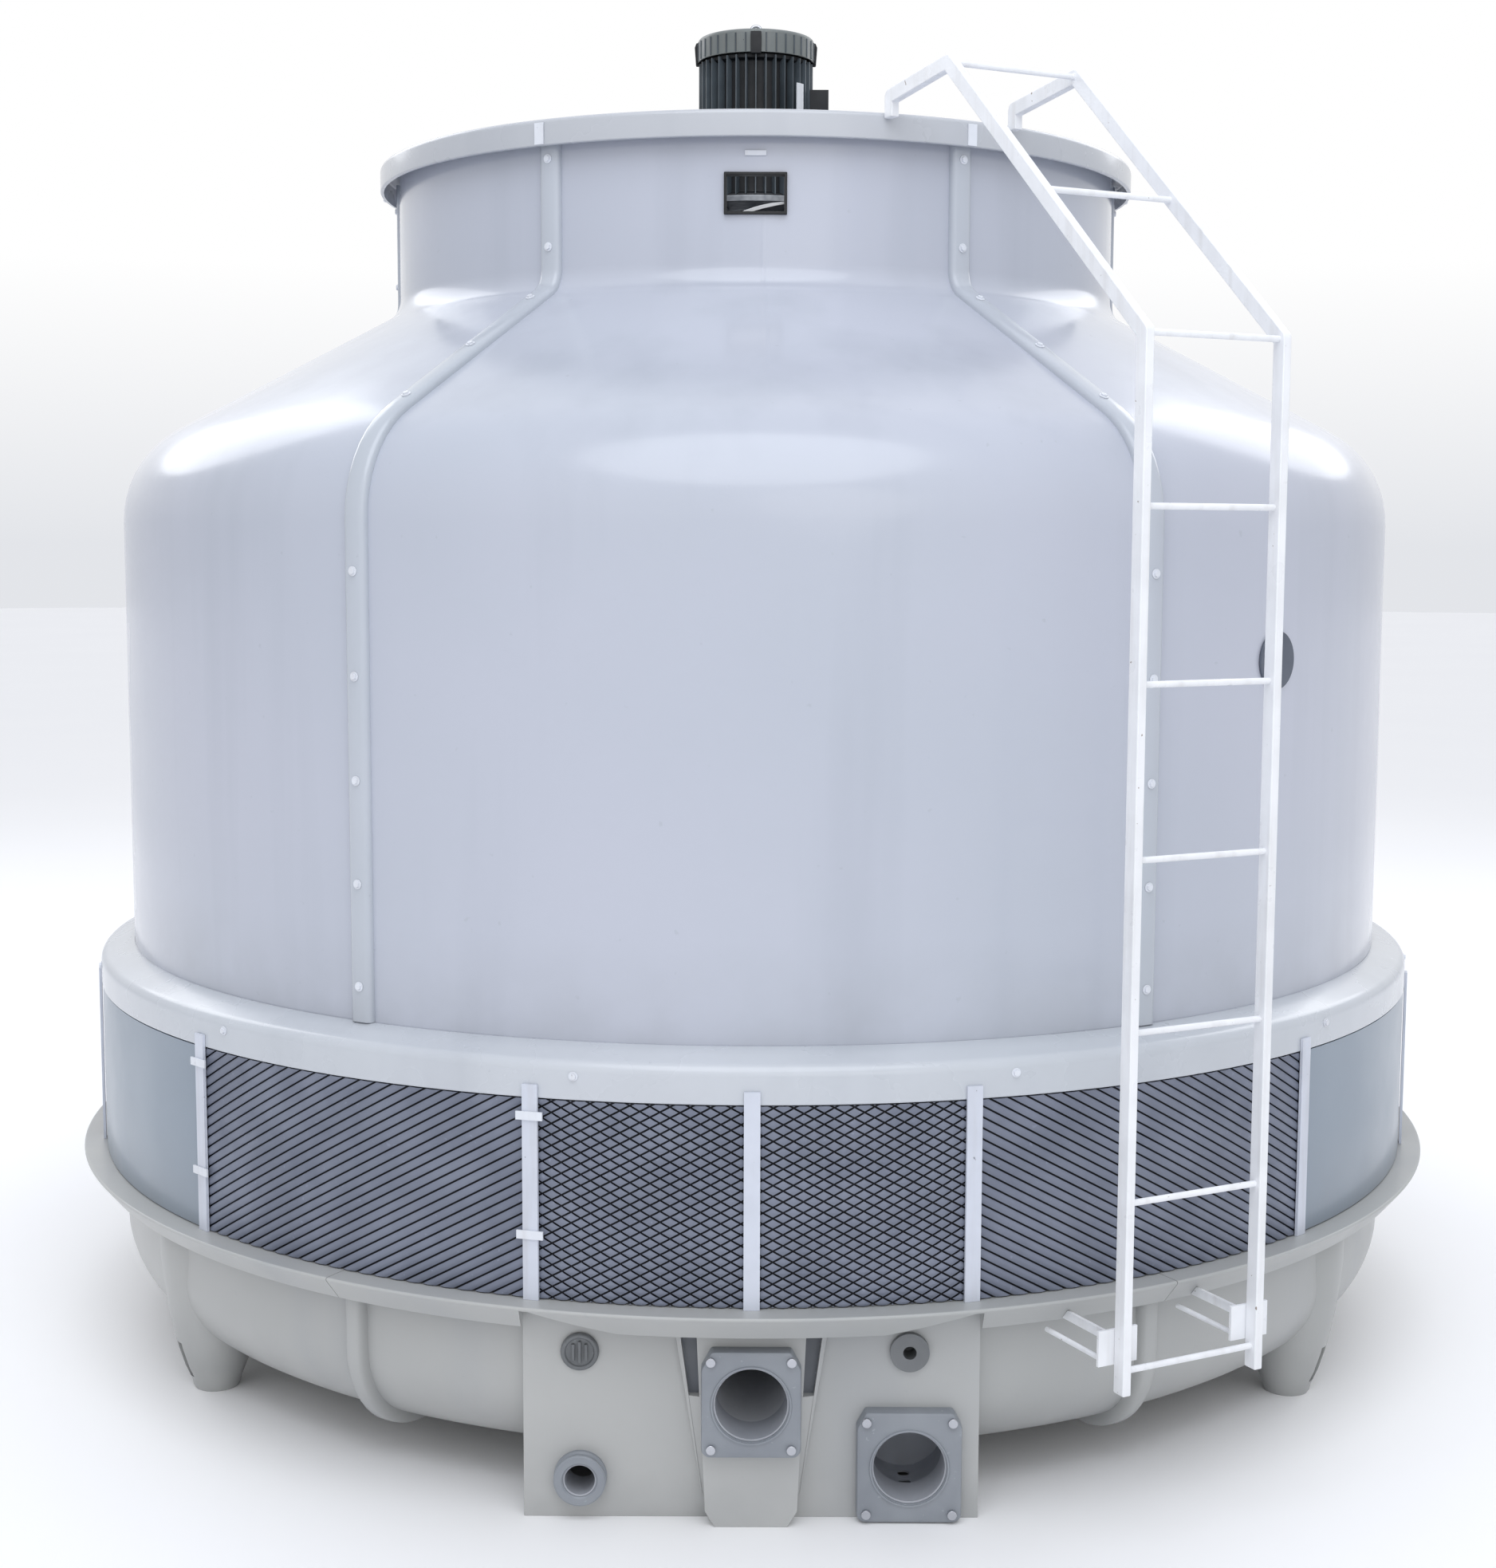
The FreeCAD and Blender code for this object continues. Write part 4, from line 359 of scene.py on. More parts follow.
class Finish(Nodes):
    """A surface under construction: its colour, roughness and bump come from noise."""

    def __init__(self, name, colour, roughness, metallic=0.0):
        self.material = bpy.data.materials.new(name)
        self.material.use_nodes = True
        super().__init__(self.material.node_tree)
        self.shader = self.tree.nodes["Principled BSDF"]
        self.shader.inputs["Metallic"].default_value = metallic
        self.place = self.add("ShaderNodeTexCoord").outputs["Object"]
        self.colour = None
        self.base = colour
        self.roughness = roughness
        self.normal = None
        self.material.diffuse_color = colour

    def noise(self, scale, detail=3.0, stretch=(1, 1, 1)):
        vector = self.place
        if stretch != (1, 1, 1):
            vector = self.add("ShaderNodeMapping", {"Vector": vector, "Scale": stretch}).outputs[0]
        return self.add("ShaderNodeTexNoise", {
            "Vector": vector, "Scale": scale, "Detail": detail}).outputs["Fac"]

    def tint(self, other, share):
        """Mixes another colour in where share, 0 to 1, says."""
        self.colour = self.mixed(share, self.colour if self.colour else self.base, other)
        return self

    def clouds(self, other, scale, amount):
        return self.tint(other, self.ranged(self.noise(scale), 0.35, 0.68, 0.0, amount))

    def streaks(self, other, amount, across, along):
        """Marks that run down the surface."""
        field = self.noise(1.0, 4.0, (across, across, along))
        return self.tint(other, self.ranged(field, 0.5, 0.78, 0.0, amount))

    def band(self, other, start, end, amount):
        """A darkening that fades with height, from start, where it is strongest, to end."""
        fade = self.ranged(self.split(self.place)["Z"], start, end, 1.0, 0.0)
        patchy = self.ranged(self.noise(7.0, 5.0), 0.35, 0.65, 0.35, 1.0)
        return self.tint(other, self.times(fade, self.times(patchy, amount)))

    def specks(self, other, scale, start, amount):
        return self.tint(other, self.ranged(self.noise(scale, 2.0), start, start + 0.04,
                                            0.0, amount))

    def rough(self, spread, scale):
        self.roughness = self.ranged(self.noise(scale, 4.0), 0.3, 0.7,
                                     self.roughness - spread, self.roughness + spread)
        return self

    def bump(self, scale, distance, strength):
        inputs = {"Height": self.noise(scale, 2.0), "Distance": distance, "Strength": strength}
        if self.normal:
            inputs["Normal"] = self.normal
        self.normal = self.add("ShaderNodeBump", inputs).outputs["Normal"]
        return self

    def done(self, coat=0.0, coat_roughness=0.1):
        sockets = self.shader.inputs
        for key, value in (("Base Color", self.colour), ("Roughness", self.roughness),
                           ("Normal", self.normal)):
            if isinstance(value, bpy.types.NodeSocket):
                self.tree.links.new(value, sockets[key])
        if not self.colour:
            sockets["Base Color"].default_value = self.base
        if isinstance(self.roughness, float):
            sockets["Roughness"].default_value = self.roughness
        sockets["Coat Weight"].default_value = coat
        sockets["Coat Roughness"].default_value = coat_roughness
        sockets["Specular IOR Level"].default_value = 0.5
        return self.material


def gelcoat(name, colour, shade, foot, roughness=0.22, coat=0.35, foot_darkening=0.28, cloud=0.6):
    """Sprayed gel-coat: glossy, faintly clouded, with rain marks and darker towards the foot."""
    return (Finish(name, colour, roughness)
            .clouds(shade, 0.9, cloud)
            .streaks(srgb(140, 146, 158), 0.22, 5.0, 0.35)
            .band(srgb(128, 130, 132), foot, foot + 0.22, foot_darkening)
            .specks(srgb(150, 154, 162), 46.0, 0.74, 0.2)
            .rough(0.05, 6.0)
            .bump(3.2, 0.004, 0.16)
            .bump(140.0, 0.0004, 0.22)
            .done(coat, 0.12))


def paint(name, colour, chip, roughness=0.35, chips=0.74):
    """Brush-painted steel with small chips and uneven gloss."""
    return (Finish(name, colour, roughness)
            .clouds(tuple(part * 0.86 for part in colour[:3]) + (1,), 14.0, 0.5)
            .streaks(srgb(150, 140, 128), 0.2, 40.0, 3.0)
            .specks(chip, 75.0, chips, 0.9)
            .rough(0.1, 25.0)
            .bump(60.0, 0.0006, 0.35)
            .done(0.1, 0.25))


def galvanised(name, colour=srgb(165, 168, 172)):
    """Zinc with its flat grey spangle."""
    surface = Finish(name, colour, 0.48, 0.85)
    cells = surface.add("ShaderNodeTexVoronoi", {"Vector": surface.place, "Scale": 60.0})
    tone = surface.ranged(cells.outputs["Distance"], 0.0, 0.9)
    return (surface.tint(srgb(120, 124, 130), tone)
            .clouds(srgb(196, 198, 200), 5.0, 0.5)
            .rough(0.1, 30.0).bump(90.0, 0.0004, 0.3).done())


def plastic(name, colour, shade, roughness=0.45, grain=220.0, metallic=0.0):
    """Moulded or worked material with a fine even grain."""
    return (Finish(name, colour, roughness, metallic)
            .clouds(shade, 9.0, 0.7)
            .streaks(tuple(part * 0.8 for part in colour[:3]) + (1,), 0.25, 22.0, 2.0)
            .specks(tuple(min(1.0, part * 1.5) for part in colour[:3]) + (1,), 90.0, 0.7, 0.35)
            .rough(0.08, 18.0)
            .bump(grain, 0.0003, 0.35)
            .done(0.0, 0.2))


FOOT = low("casing_panel_1").z
casing_finish = gelcoat("casing_gelcoat", srgb(186, 190, 203), srgb(176, 183, 194), FOOT)
strap_finish = gelcoat("strap_gelcoat", srgb(189, 194, 204), srgb(170, 178, 186), FOOT)
rim_finish = gelcoat("rim_gelcoat", srgb(184, 187, 193), srgb(170, 176, 184), high("stack_rim").z,
                     0.28, foot_darkening=0.0, cloud=0.4)
skirt_finish = gelcoat("skirt_gelcoat", srgb(197, 201, 208), srgb(182, 190, 197),
                       low("skirt_ring").z, 0.28, foot_darkening=0.10, cloud=0.35)
basin_finish = gelcoat("basin_gelcoat", srgb(178, 179, 178), srgb(160, 163, 163), 0.06, 0.38, 0.1)
sump_finish = gelcoat("sump_gelcoat", srgb(180, 181, 180), srgb(165, 168, 170), 0.0, 0.4, 0.1)
blank_finish = gelcoat("blank_sheet_gelcoat", srgb(138, 150, 163), srgb(124, 136, 150),
                       low("screens_rear").z, 0.35, 0.2)
ladder_finish = paint("ladder_paint", srgb(236, 238, 242), srgb(128, 112, 98))
post_finish = paint("post_paint", srgb(205, 210, 222), srgb(120, 124, 132), 0.4)
clip_finish = paint("clip_paint", srgb(222, 226, 234), srgb(126, 128, 134), 0.35)
cowl_finish = paint("cowl_paint", srgb(112, 118, 118), srgb(60, 62, 64), 0.45)
label_finish = paint("label_enamel", srgb(226, 230, 236), srgb(150, 152, 156), 0.3)
motor_finish = plastic("motor_enamel", srgb(15, 19, 25), srgb(9, 11, 15), 0.58, 120.0)
fin_finish = plastic("motor_fin_enamel", srgb(88, 97, 104), srgb(50, 58, 64), 0.38, 120.0)
screen_finish = plastic("screen_strip", srgb(118, 124, 140), srgb(98, 104, 120), 0.5)
# Near-black sheet behind the screen slats: painted shade for the dark gaps between the slats.
gap_shade_finish = plastic("screen_gap", srgb(26, 27, 36), srgb(14, 15, 20), 0.7)
flange_finish = plastic("flange_moulding", srgb(140, 145, 152), srgb(126, 131, 139), 0.42)
cap_finish = plastic("cap_moulding", srgb(116, 119, 122), srgb(92, 95, 98), 0.4)
# Lining inside the pipe sockets, its colour raised so the dark bores look lit: painted light.
bore_painted_light_finish = plastic("pipe_inside", srgb(168, 171, 178), srgb(148, 152, 160), 0.45)
# Pocket floors beside the sump column, darker than the sump: painted shade in the recesses.
pocket_shade_finish = plastic("pocket_moulding", srgb(116, 120, 126), srgb(98, 102, 110), 0.5)
rubber_finish = plastic("edging_rubber", srgb(24, 25, 27), srgb(14, 15, 16), 0.6, 90.0)
# Dark disc filling the inspection port: painted shade standing for the dark inside of the hole.
port_shade_finish = plastic("smoked_cover", srgb(86, 93, 106), srgb(66, 73, 86), 0.18, 60.0)
steel_finish = plastic("stainless_steel", srgb(196, 198, 204), srgb(168, 170, 176), 0.3, 160.0, 0.9)
strainer_finish = plastic("strainer_sheet", srgb(176, 180, 188), srgb(156, 160, 168), 0.45,
                          160.0, 0.3)
zinc_finish = galvanised("galvanised_steel")
blade_finish = plastic("cast_aluminium", srgb(186, 188, 190), srgb(160, 162, 166), 0.42, 150.0, 0.8)
pipe_finish = plastic("grey_pipe", srgb(206, 208, 212), srgb(190, 193, 198), 0.4)
film_finish = plastic("fill_film", srgb(52, 56, 60), srgb(38, 41, 45), 0.5, 70.0)
float_finish = plastic("float_shell", srgb(214, 96, 44), srgb(190, 78, 34), 0.35)
brass_finish = plastic("brass_rod", srgb(196, 164, 98), srgb(160, 130, 74), 0.3, 140.0, 0.9)


# ------------------------------------------------------------ grown pieces

class Grower(Nodes):
    """A Geometry Nodes tree with named sizes, ending in one plain mesh."""

    def __init__(self, name, **sizes):
        super().__init__(bpy.data.node_groups.new(name, "GeometryNodeTree"))
        sockets = self.tree.interface
        sockets.new_socket("Geometry", in_out="INPUT", socket_type="NodeSocketGeometry")
        for label, value in sizes.items():
            kind = "NodeSocketInt" if isinstance(value, int) else "NodeSocketFloat"
            sockets.new_socket(label, in_out="INPUT", socket_type=kind)
        sockets.new_socket("Geometry", in_out="OUTPUT", socket_type="NodeSocketGeometry")
        self.sizes = sizes
        self.given = self.add("NodeGroupInput").outputs

    def moved(self, mesh, **sizes):
        return self.add("GeometryNodeTransform", {"Geometry": mesh, **{
            key.title(): value for key, value in sizes.items()}}).outputs[0]

    def vector(self, x=0.0, y=0.0, z=0.0):
        return self.add("ShaderNodeCombineXYZ", {"X": x, "Y": y, "Z": z}).outputs[0]

    def midway(self, first, second):
        return self.times(self.math("ADD", first, second), 0.5)

    def placed(self, points, instance, rotation=(0, 0, 0)):
        made = self.add("GeometryNodeInstanceOnPoints", {
            "Points": points, "Instance": instance, "Rotation": rotation})
        return self.add("GeometryNodeRealizeInstances", {0: made.outputs[0]}).outputs[0]

    def grow(self, name, geometry, material, seed=None, sharp=40):
        """Ends the tree and returns the plain mesh that it makes."""
        whole = self.add("GeometryNodeRealizeInstances", {0: geometry}).outputs[0]
        painted = self.add("GeometryNodeSetMaterial", {"Geometry": whole})
        painted.inputs["Material"].default_value = material
        self.add("NodeGroupOutput", {0: painted.outputs[0]})
        holder = bpy.data.objects.new(name, seed or bpy.data.meshes.new(name + "_seed"))
        bpy.context.scene.collection.objects.link(holder)
        growth = holder.modifiers.new("grow", "NODES")
        growth.node_group = self.tree
        for item in self.tree.interface.items_tree:
            if item.in_out == "INPUT" and item.name in self.sizes:
                growth[item.identifier] = self.sizes[item.name]
        scene_now = bpy.context.evaluated_depsgraph_get()
        mesh = bpy.data.meshes.new_from_object(holder.evaluated_get(scene_now))
        bpy.data.objects.remove(holder)
        return smooth_object(name, mesh, material, sharp)


def seed_points(places, facings):
    """A mesh of bare points that carry the direction in which each looks."""
    mesh = bpy.data.meshes.new("seed_points")
    mesh.from_pydata([tuple(place) for place in places], [], [])
    facing = mesh.attributes.new("facing", "FLOAT_VECTOR", "POINT")
    for index, direction in enumerate(facings):
        facing.data[index].vector = direction
    return mesh


def bolt_heads(name, places, facings, material, washer, head):
    """Washers with heads on them, each looking along its own direction."""
    tree = Grower(name, washer_radius=washer[0], washer_depth=washer[1],
                  head_radius=head[0], head_depth=head[1])
    given = tree.given
    disc = tree.add("GeometryNodeMeshCylinder", {
        "Vertices": 16, "Radius": given["washer_radius"], "Depth": given["washer_depth"]})
    nut = tree.add("GeometryNodeMeshCylinder", {
        "Vertices": 6, "Radius": given["head_radius"], "Depth": given["head_depth"]})
    lift = tree.midway(given["washer_depth"], given["head_depth"])
    raised = tree.moved(nut.outputs[0], translation=tree.vector(z=lift))
    bolt = tree.add("GeometryNodeJoinGeometry", {0: [disc.outputs[0], raised]}).outputs[0]
    looks = tree.add("GeometryNodeInputNamedAttribute", {"Name": "facing"},
                     data_type="FLOAT_VECTOR").outputs[0]
    turn = tree.add("FunctionNodeAlignRotationToVector", {"Vector": looks}, axis="Z").outputs[0]
    return tree.grow(name, tree.placed(given["Geometry"], bolt, turn), material,
                     seed_points(places, facings), 30)


def slat_family(tree, slope, tall, centre, level):
    """Crowned slats side by side in a flat sheet: x along the bay, z up."""
    given = tree.given
    steep = tree.math("ABSOLUTE", tree.math("SINE", slope))
    length = tree.times(tree.math("DIVIDE", tall, steep), 1.2)
    slat = tree.add("GeometryNodeMeshCube", {
        "Size": tree.vector(length, given["thickness"], given["width"]),
        "Vertices X": 14, "Vertices Y": 2, "Vertices Z": 4}).outputs[0]
    here = tree.split(tree.add("GeometryNodeInputPosition").outputs[0])
    share = tree.math("DIVIDE", here["Z"], tree.times(given["width"], 0.5))
    crown = tree.times(tree.math("SUBTRACT", 1.0, tree.math("POWER", share, 2.0)),
                       tree.times(given["crown"], -1.0))
    slat = tree.add("GeometryNodeSetPosition", {
        "Geometry": slat, "Offset": tree.vector(y=crown)}).outputs[0]
    spacing = tree.math("DIVIDE", given["pitch"], steep)
    back = tree.times(spacing, tree.times(tree.math("SUBTRACT", given["count"], 1.0), 0.5))
    line = tree.add("GeometryNodeMeshLine", {
        "Count": given["count"], "Offset": tree.vector(spacing),
        "Start Location": tree.vector(tree.math("SUBTRACT", centre, back), 0.0, level),
    }).outputs[0]
    return tree.placed(line, slat, tree.vector(y=tree.times(slope, -1.0)))


SLAT_PITCH = 0.018


def screen_slats(name, start, end, slope, crossed, foot, top):
    """One bay of slanted slats, or of lozenges where two families cross."""
    radius = 0.5 * (screen_in + screen_out) + 0.0005
    spread = math.radians(end - start) * radius * abs(math.sin(slope)) + (top - foot)
    tree = Grower(name, radius=radius, foot=foot, top=top, start=math.radians(start),
                  end=math.radians(end), pitch=SLAT_PITCH, width=SLAT_PITCH - 0.0036,
                  thickness=0.003, crown=0.0028, slope=slope, count=int(spread / SLAT_PITCH) + 4)
    given = tree.given
    span = tree.times(tree.math("SUBTRACT", given["end"], given["start"]), given["radius"])
    tall = tree.math("SUBTRACT", given["top"], given["foot"])
    centre = tree.times(tree.math("ADD", given["start"], given["end"]),
                        tree.times(given["radius"], 0.5))
    level = tree.midway(given["top"], given["foot"])
    bay = tree.add("GeometryNodeMeshCube", {"Size": tree.vector(span, 0.05, tall)}).outputs[0]
    bay = tree.moved(bay, translation=tree.vector(centre, 0.0, level))
    meshes = [slat_family(tree, given["slope"], tall, centre, level), bay]
    if crossed:
        meshes.append(slat_family(tree, tree.times(given["slope"], -1.0), tall, centre, level))
    flat = tree.add("GeometryNodeMeshBoolean", {"Mesh 2": meshes}, operation="INTERSECT",
                    solver="EXACT").outputs[0]
    here = tree.split(tree.add("GeometryNodeInputPosition").outputs[0])
    angle = tree.math("DIVIDE", here["X"], given["radius"])
    reach = tree.math("SUBTRACT", given["radius"], here["Y"])
    wrapped = tree.vector(
        tree.times(reach, tree.math("SINE", angle)),
        tree.times(tree.times(reach, -1.0), tree.math("COSINE", angle)), here["Z"])
    bent = tree.add("GeometryNodeSetPosition", {"Geometry": flat, "Position": wrapped})
    return tree.grow(name, bent.outputs[0], screen_finish, sharp=50)


# ------------------------------------------------------------ casing

RIM_OVERHANG = 0.044             # of the stack's ring past the stack
casing_radius = -low("casing_panel_1").y
casing_top = high("casing_panel_1").z
rim_radius = high("stack_rim").x
neck_radius = rim_radius - RIM_OVERHANG
casing_wall = 0.008
SHOULDER = 2.012                 # height of the corner between barrel and cone
CONE_SLOPE = math.radians(28.5)
SHOULDER_ROUND = 0.240
NECK_ROUND = 0.070
STRAP_WIDTH, STRAP_PROUD = 0.050, 0.015
neck_foot = SHOULDER + (casing_radius - neck_radius) * math.tan(CONE_SLOPE)


def casing_path(foot, top):
    corners = [(casing_radius, foot), (casing_radius, SHOULDER, SHOULDER_ROUND),
               (neck_radius, neck_foot, NECK_ROUND), (neck_radius, top)]
    return divided(rounded(corners), 0.05)


def casing_shift(angle, point):
    """Moulded skin: slow hollows of a millimetre, and a faint seam up the front's middle."""
    place = at_angle(angle, point.x, point.y)
    hollow = 0.0011 * noise.noise(place * 2.1)
    seam = 0.0030 * math.exp(-((angle - 1.1) / 0.22) ** 2)
    seam *= max(0.0, 1 - abs(point.y - neck_foot + 0.10) / 0.22)
    return hollow + seam


def add_casing():
    outline = walled(casing_path(FOOT, casing_top), casing_wall)
    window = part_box("window_frame")
    for index in range(PANELS):
        angles = panel_angles(index)
        if index == 0:               # finer across the faint seam up the front
            angles = sorted(set(angles) | {0.44, 0.66, 0.88, 1.1, 1.32, 1.54, 1.76})
        panel = to_object("casing_skin_%d" % (index + 1),
                          turned(outline, angles, casing_shift), casing_finish)
        if index == 0:
            cut_with(panel, block((window[0].x + 0.001, window[0].y - 0.05, window[0].z + 0.001),
                                  (window[1].x - 0.001, window[1].y + 0.05, window[1].z - 0.001)))
        settle(panel, TOWER, "casing", "casing_panel_%d" % (index + 1))


def ridge(path, angle, width, proud):
    """A raised band that follows an outline, with soft shoulders and a sunk root."""
    root = -0.001 / proud
    section = [(-0.5, root), (-0.5, 0.30), (-0.46, 0.62), (-0.38, 0.88), (-0.27, 1.0),
               (0.27, 1.0), (0.38, 0.88), (0.46, 0.62), (0.5, 0.30), (0.5, root)]
    rings = []
    for point, normal in zip(path, side_normals(path)):
        ring = []
        for across, rise in section:
            place = point + normal * rise * proud
            ring.append(Vector((width * across, -place.x, place.y)))
        rings.append(ring)
    return turn_about_axis(lofted(rings), angle)


def add_straps():
    path = casing_path(low("seam_straps").z, high("seam_straps").z)
    bands = [ridge(path, angle, STRAP_WIDTH, STRAP_PROUD) for angle in JOINTS]
    straps = to_object("joint_straps", merged(bands), strap_finish)
    settle(straps, TOWER, "casing", "seam_straps")


def solids_of(node):
    """The middle of each separate solid of a CAD node."""
    bm = welded(node)
    waiting = set(bm.verts)
    middles = []
    while waiting:
        front = [waiting.pop()]
        found = []
        while front:
            vert = front.pop()
            found.append(vert.co.copy())
            for edge in vert.link_edges:
                other = edge.other_vert(vert)
                if other in waiting:
                    waiting.remove(other)
                    front.append(other)
        middles.append(sum(found, Vector()) / len(found))
    bm.free()
    return sorted(middles, key=lambda place: (round(place.z, 4), round(place.x, 4)))


def add_casing_bolts():
    path = casing_path(FOOT, casing_top)
    normals = side_normals(path)
    places, facings = [], []
    for place in solids_of("casing_bolts"):
        flat = Vector((math.hypot(place.x, place.y), place.z))
        nearest = min(range(len(path)), key=lambda index: (path[index] - flat).length)
        outward = Vector((place.x, place.y, 0)).normalized()
        facing = outward * normals[nearest].x + Vector((0, 0, normals[nearest].y))
        places.append(place - facing * 0.002)
        facings.append(facing)
    bolts = bolt_heads("strap_bolts", places, facings, clip_finish,
                       (0.0095, 0.0016), (0.0062, 0.0036))
    settle(bolts, TOWER, "fastener", "casing_bolts")


def add_stack_rim():
    top, foot = high("stack_rim").z, low("stack_rim").z
    bore = neck_radius - casing_wall
    outline = rounded([
        (bore, top), (rim_radius, top, 0.010), (rim_radius, foot, 0.003),
        (rim_radius - 0.008, foot), (rim_radius - 0.008, top - 0.009, 0.004), (bore, top - 0.008)])
    ring = turned(outline, steps_between(0, 360, TURN_STEP),
                  lambda angle, point: 0.0008 * noise.noise(at_angle(angle, 3, point.y * 4)))
    rim = to_object("rim_ring", ring, rim_finish)
    settle(rim, TOWER, "skirt", "stack_rim")
    laps = []
    for angle in JOINTS:
        plate = sheet_outline(rim_radius + 0.0005, rim_radius + 0.0035, foot + 0.002, top - 0.009)
        laps.append(turned(plate, steps_between(angle - 0.7, angle + 0.7, 0.35)))
    laps.append(block((-0.022, -neck_radius - 0.0045, foot - 0.032),
                      (0.022, -neck_radius + 0.001, foot - 0.022)))
    settle(to_object("rim_laps", merged(laps), clip_finish), TOWER, "skirt")


def add_window_and_port():
    softened("window_frame", rubber_finish, TOWER, "window_rubber", 0.0015)
    # The port's dark disc is painted shade for the inside of the hole.
    softened("inspection_port", port_shade_finish, TOWER, "port_glass", 0.0018)


def add_skirt():
    radius = high("skirt_ring").x
    top, foot = high("skirt_ring").z, low("skirt_ring").z
    collar = casing_radius + GAP
    outline = divided(rounded([
        (collar, top), (collar + 0.008, top), (radius, FOOT, 0.026), (radius, foot, 0.003),
        (radius - 0.008, foot), (radius - 0.008, FOOT - 0.009, 0.018),
        (collar - 0.030, FOOT - 0.009), (collar - 0.030, FOOT - 0.0005), (collar, FOOT - 0.0005),
        (collar, top)]), 0.03)[:-1]
    ring = turned(outline, steps_between(0, 360, 1.25),
                  lambda angle, point: 0.0007 * noise.noise(at_angle(angle, 4, point.y * 5)))
    settle(to_object("skirt_moulding", ring, skirt_finish), TOWER, "skirt", "skirt_ring")
    places, facings = [], []
    for angle in steps_between(-165, 165, 30):
        places.append(at_angle(angle + 3, radius + 0.0008, foot + 0.045))
        facings.append(at_angle(angle + 3, 1, 0))
    bolts = bolt_heads("skirt_bolts", places, facings, clip_finish,
                       (0.009, 0.0016), (0.006, 0.004))
    settle(bolts, TOWER, "fastener")


# ------------------------------------------------------------ basin

def add_basin():
    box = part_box("basin_segment_1")
    rim, top = -box[0].y, box[1].z
    wall, wall_radius, pan_foot, bend = 0.008, rim - 0.100, low("basin_segment_4").z + 0.025, 0.180
    deck = top - wall
    outline = divided(rounded([
        (0.0, pan_foot), (wall_radius, pan_foot, bend), (wall_radius, deck, 0.012),
        (rim - 0.012, deck), (rim - 0.0506, top - 0.050), (rim - 0.041, top - 0.050, 0.002),
        (rim, top, 0.004), (wall_radius - wall, top, 0.006),
        (wall_radius - wall, pan_foot + wall, bend - wall), (0.0, pan_foot + wall)]), 0.12)
    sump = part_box("sump_box")
    outside = rounded([(1.300, pan_foot), (wall_radius, pan_foot, bend), (wall_radius, deck)])
    outside = divided(outside, 0.04)
    for index in range(PANELS):
        moulding = to_object("basin_moulding_%d" % (index + 1),
                             turned(outline, panel_angles(index)), basin_finish)
        if index == 0:
            cut_with(moulding, block((sump[0].x - GAP, -wall_radius - 0.04, -0.1),
                                     (sump[1].x + GAP, sump[1].y + GAP, sump[1].z + GAP)))
        settle(moulding, TOWER, "basin", "basin_segment_%d" % (index + 1))
    ribs = [ridge(outside, angle, 0.040, 0.025) for angle in JOINTS]
    settle(to_object("basin_ribs", merged(ribs), basin_finish), TOWER, "basin")


LEG_ANGLES = (54, 126, 180, 234, 306)


def leg_ring(height, centre, reach, half_width, sides=28):
    """One level of a leg: an oval that stands on the leg's ring."""
    points = []
    for index in range(sides):
        turn = 2 * math.pi * index / sides
        points.append(Vector((half_width * math.sin(turn), -(centre + reach * math.cos(turn)),
                              height)))
    return points


def add_legs():
    """Moulded legs that swell out of the basin, each with a slot above its round sole."""
    levels = [  # height, middle of the oval, its reach along the radius, its half width
        (0.000, 1.440, 0.046, 0.046), (0.006, 1.440, 0.050, 0.050), (0.020, 1.440, 0.053, 0.053),
        (0.055, 1.440, 0.068, 0.066), (0.100, 1.441, 0.081, 0.078), (0.150, 1.442, 0.091, 0.087),
        (0.200, 1.444, 0.098, 0.095), (0.250, 1.448, 0.100, 0.103), (0.300, 1.454, 0.098, 0.110),
        (0.345, 1.462, 0.088, 0.116), (0.385, 1.472, 0.066, 0.118), (0.405, 1.480, 0.045, 0.112)]
    legs = []
    for turn in LEG_ANGLES:
        rings = [leg_ring(*level) for level in levels]
        leg = to_object("leg_part", lofted(rings), basin_finish)
        cut_with(leg, block((-0.011, -1.60, 0.030), (0.011, -1.482, 0.112)))
        bm = bmesh.new()
        bm.from_mesh(leg.data)
        bpy.data.objects.remove(leg)
        legs.append(turn_about_axis(bm, turn))
    settle(to_object("moulded_legs", merged(legs), basin_finish), TOWER, "basin", "basin_legs")


COLUMN_PROUD, COLUMN_TOP_HALF, COLUMN_LOW_HALF = 0.045, 0.104, 0.086
WEB_REACH, WEB_EDGE = 0.044, 0.008


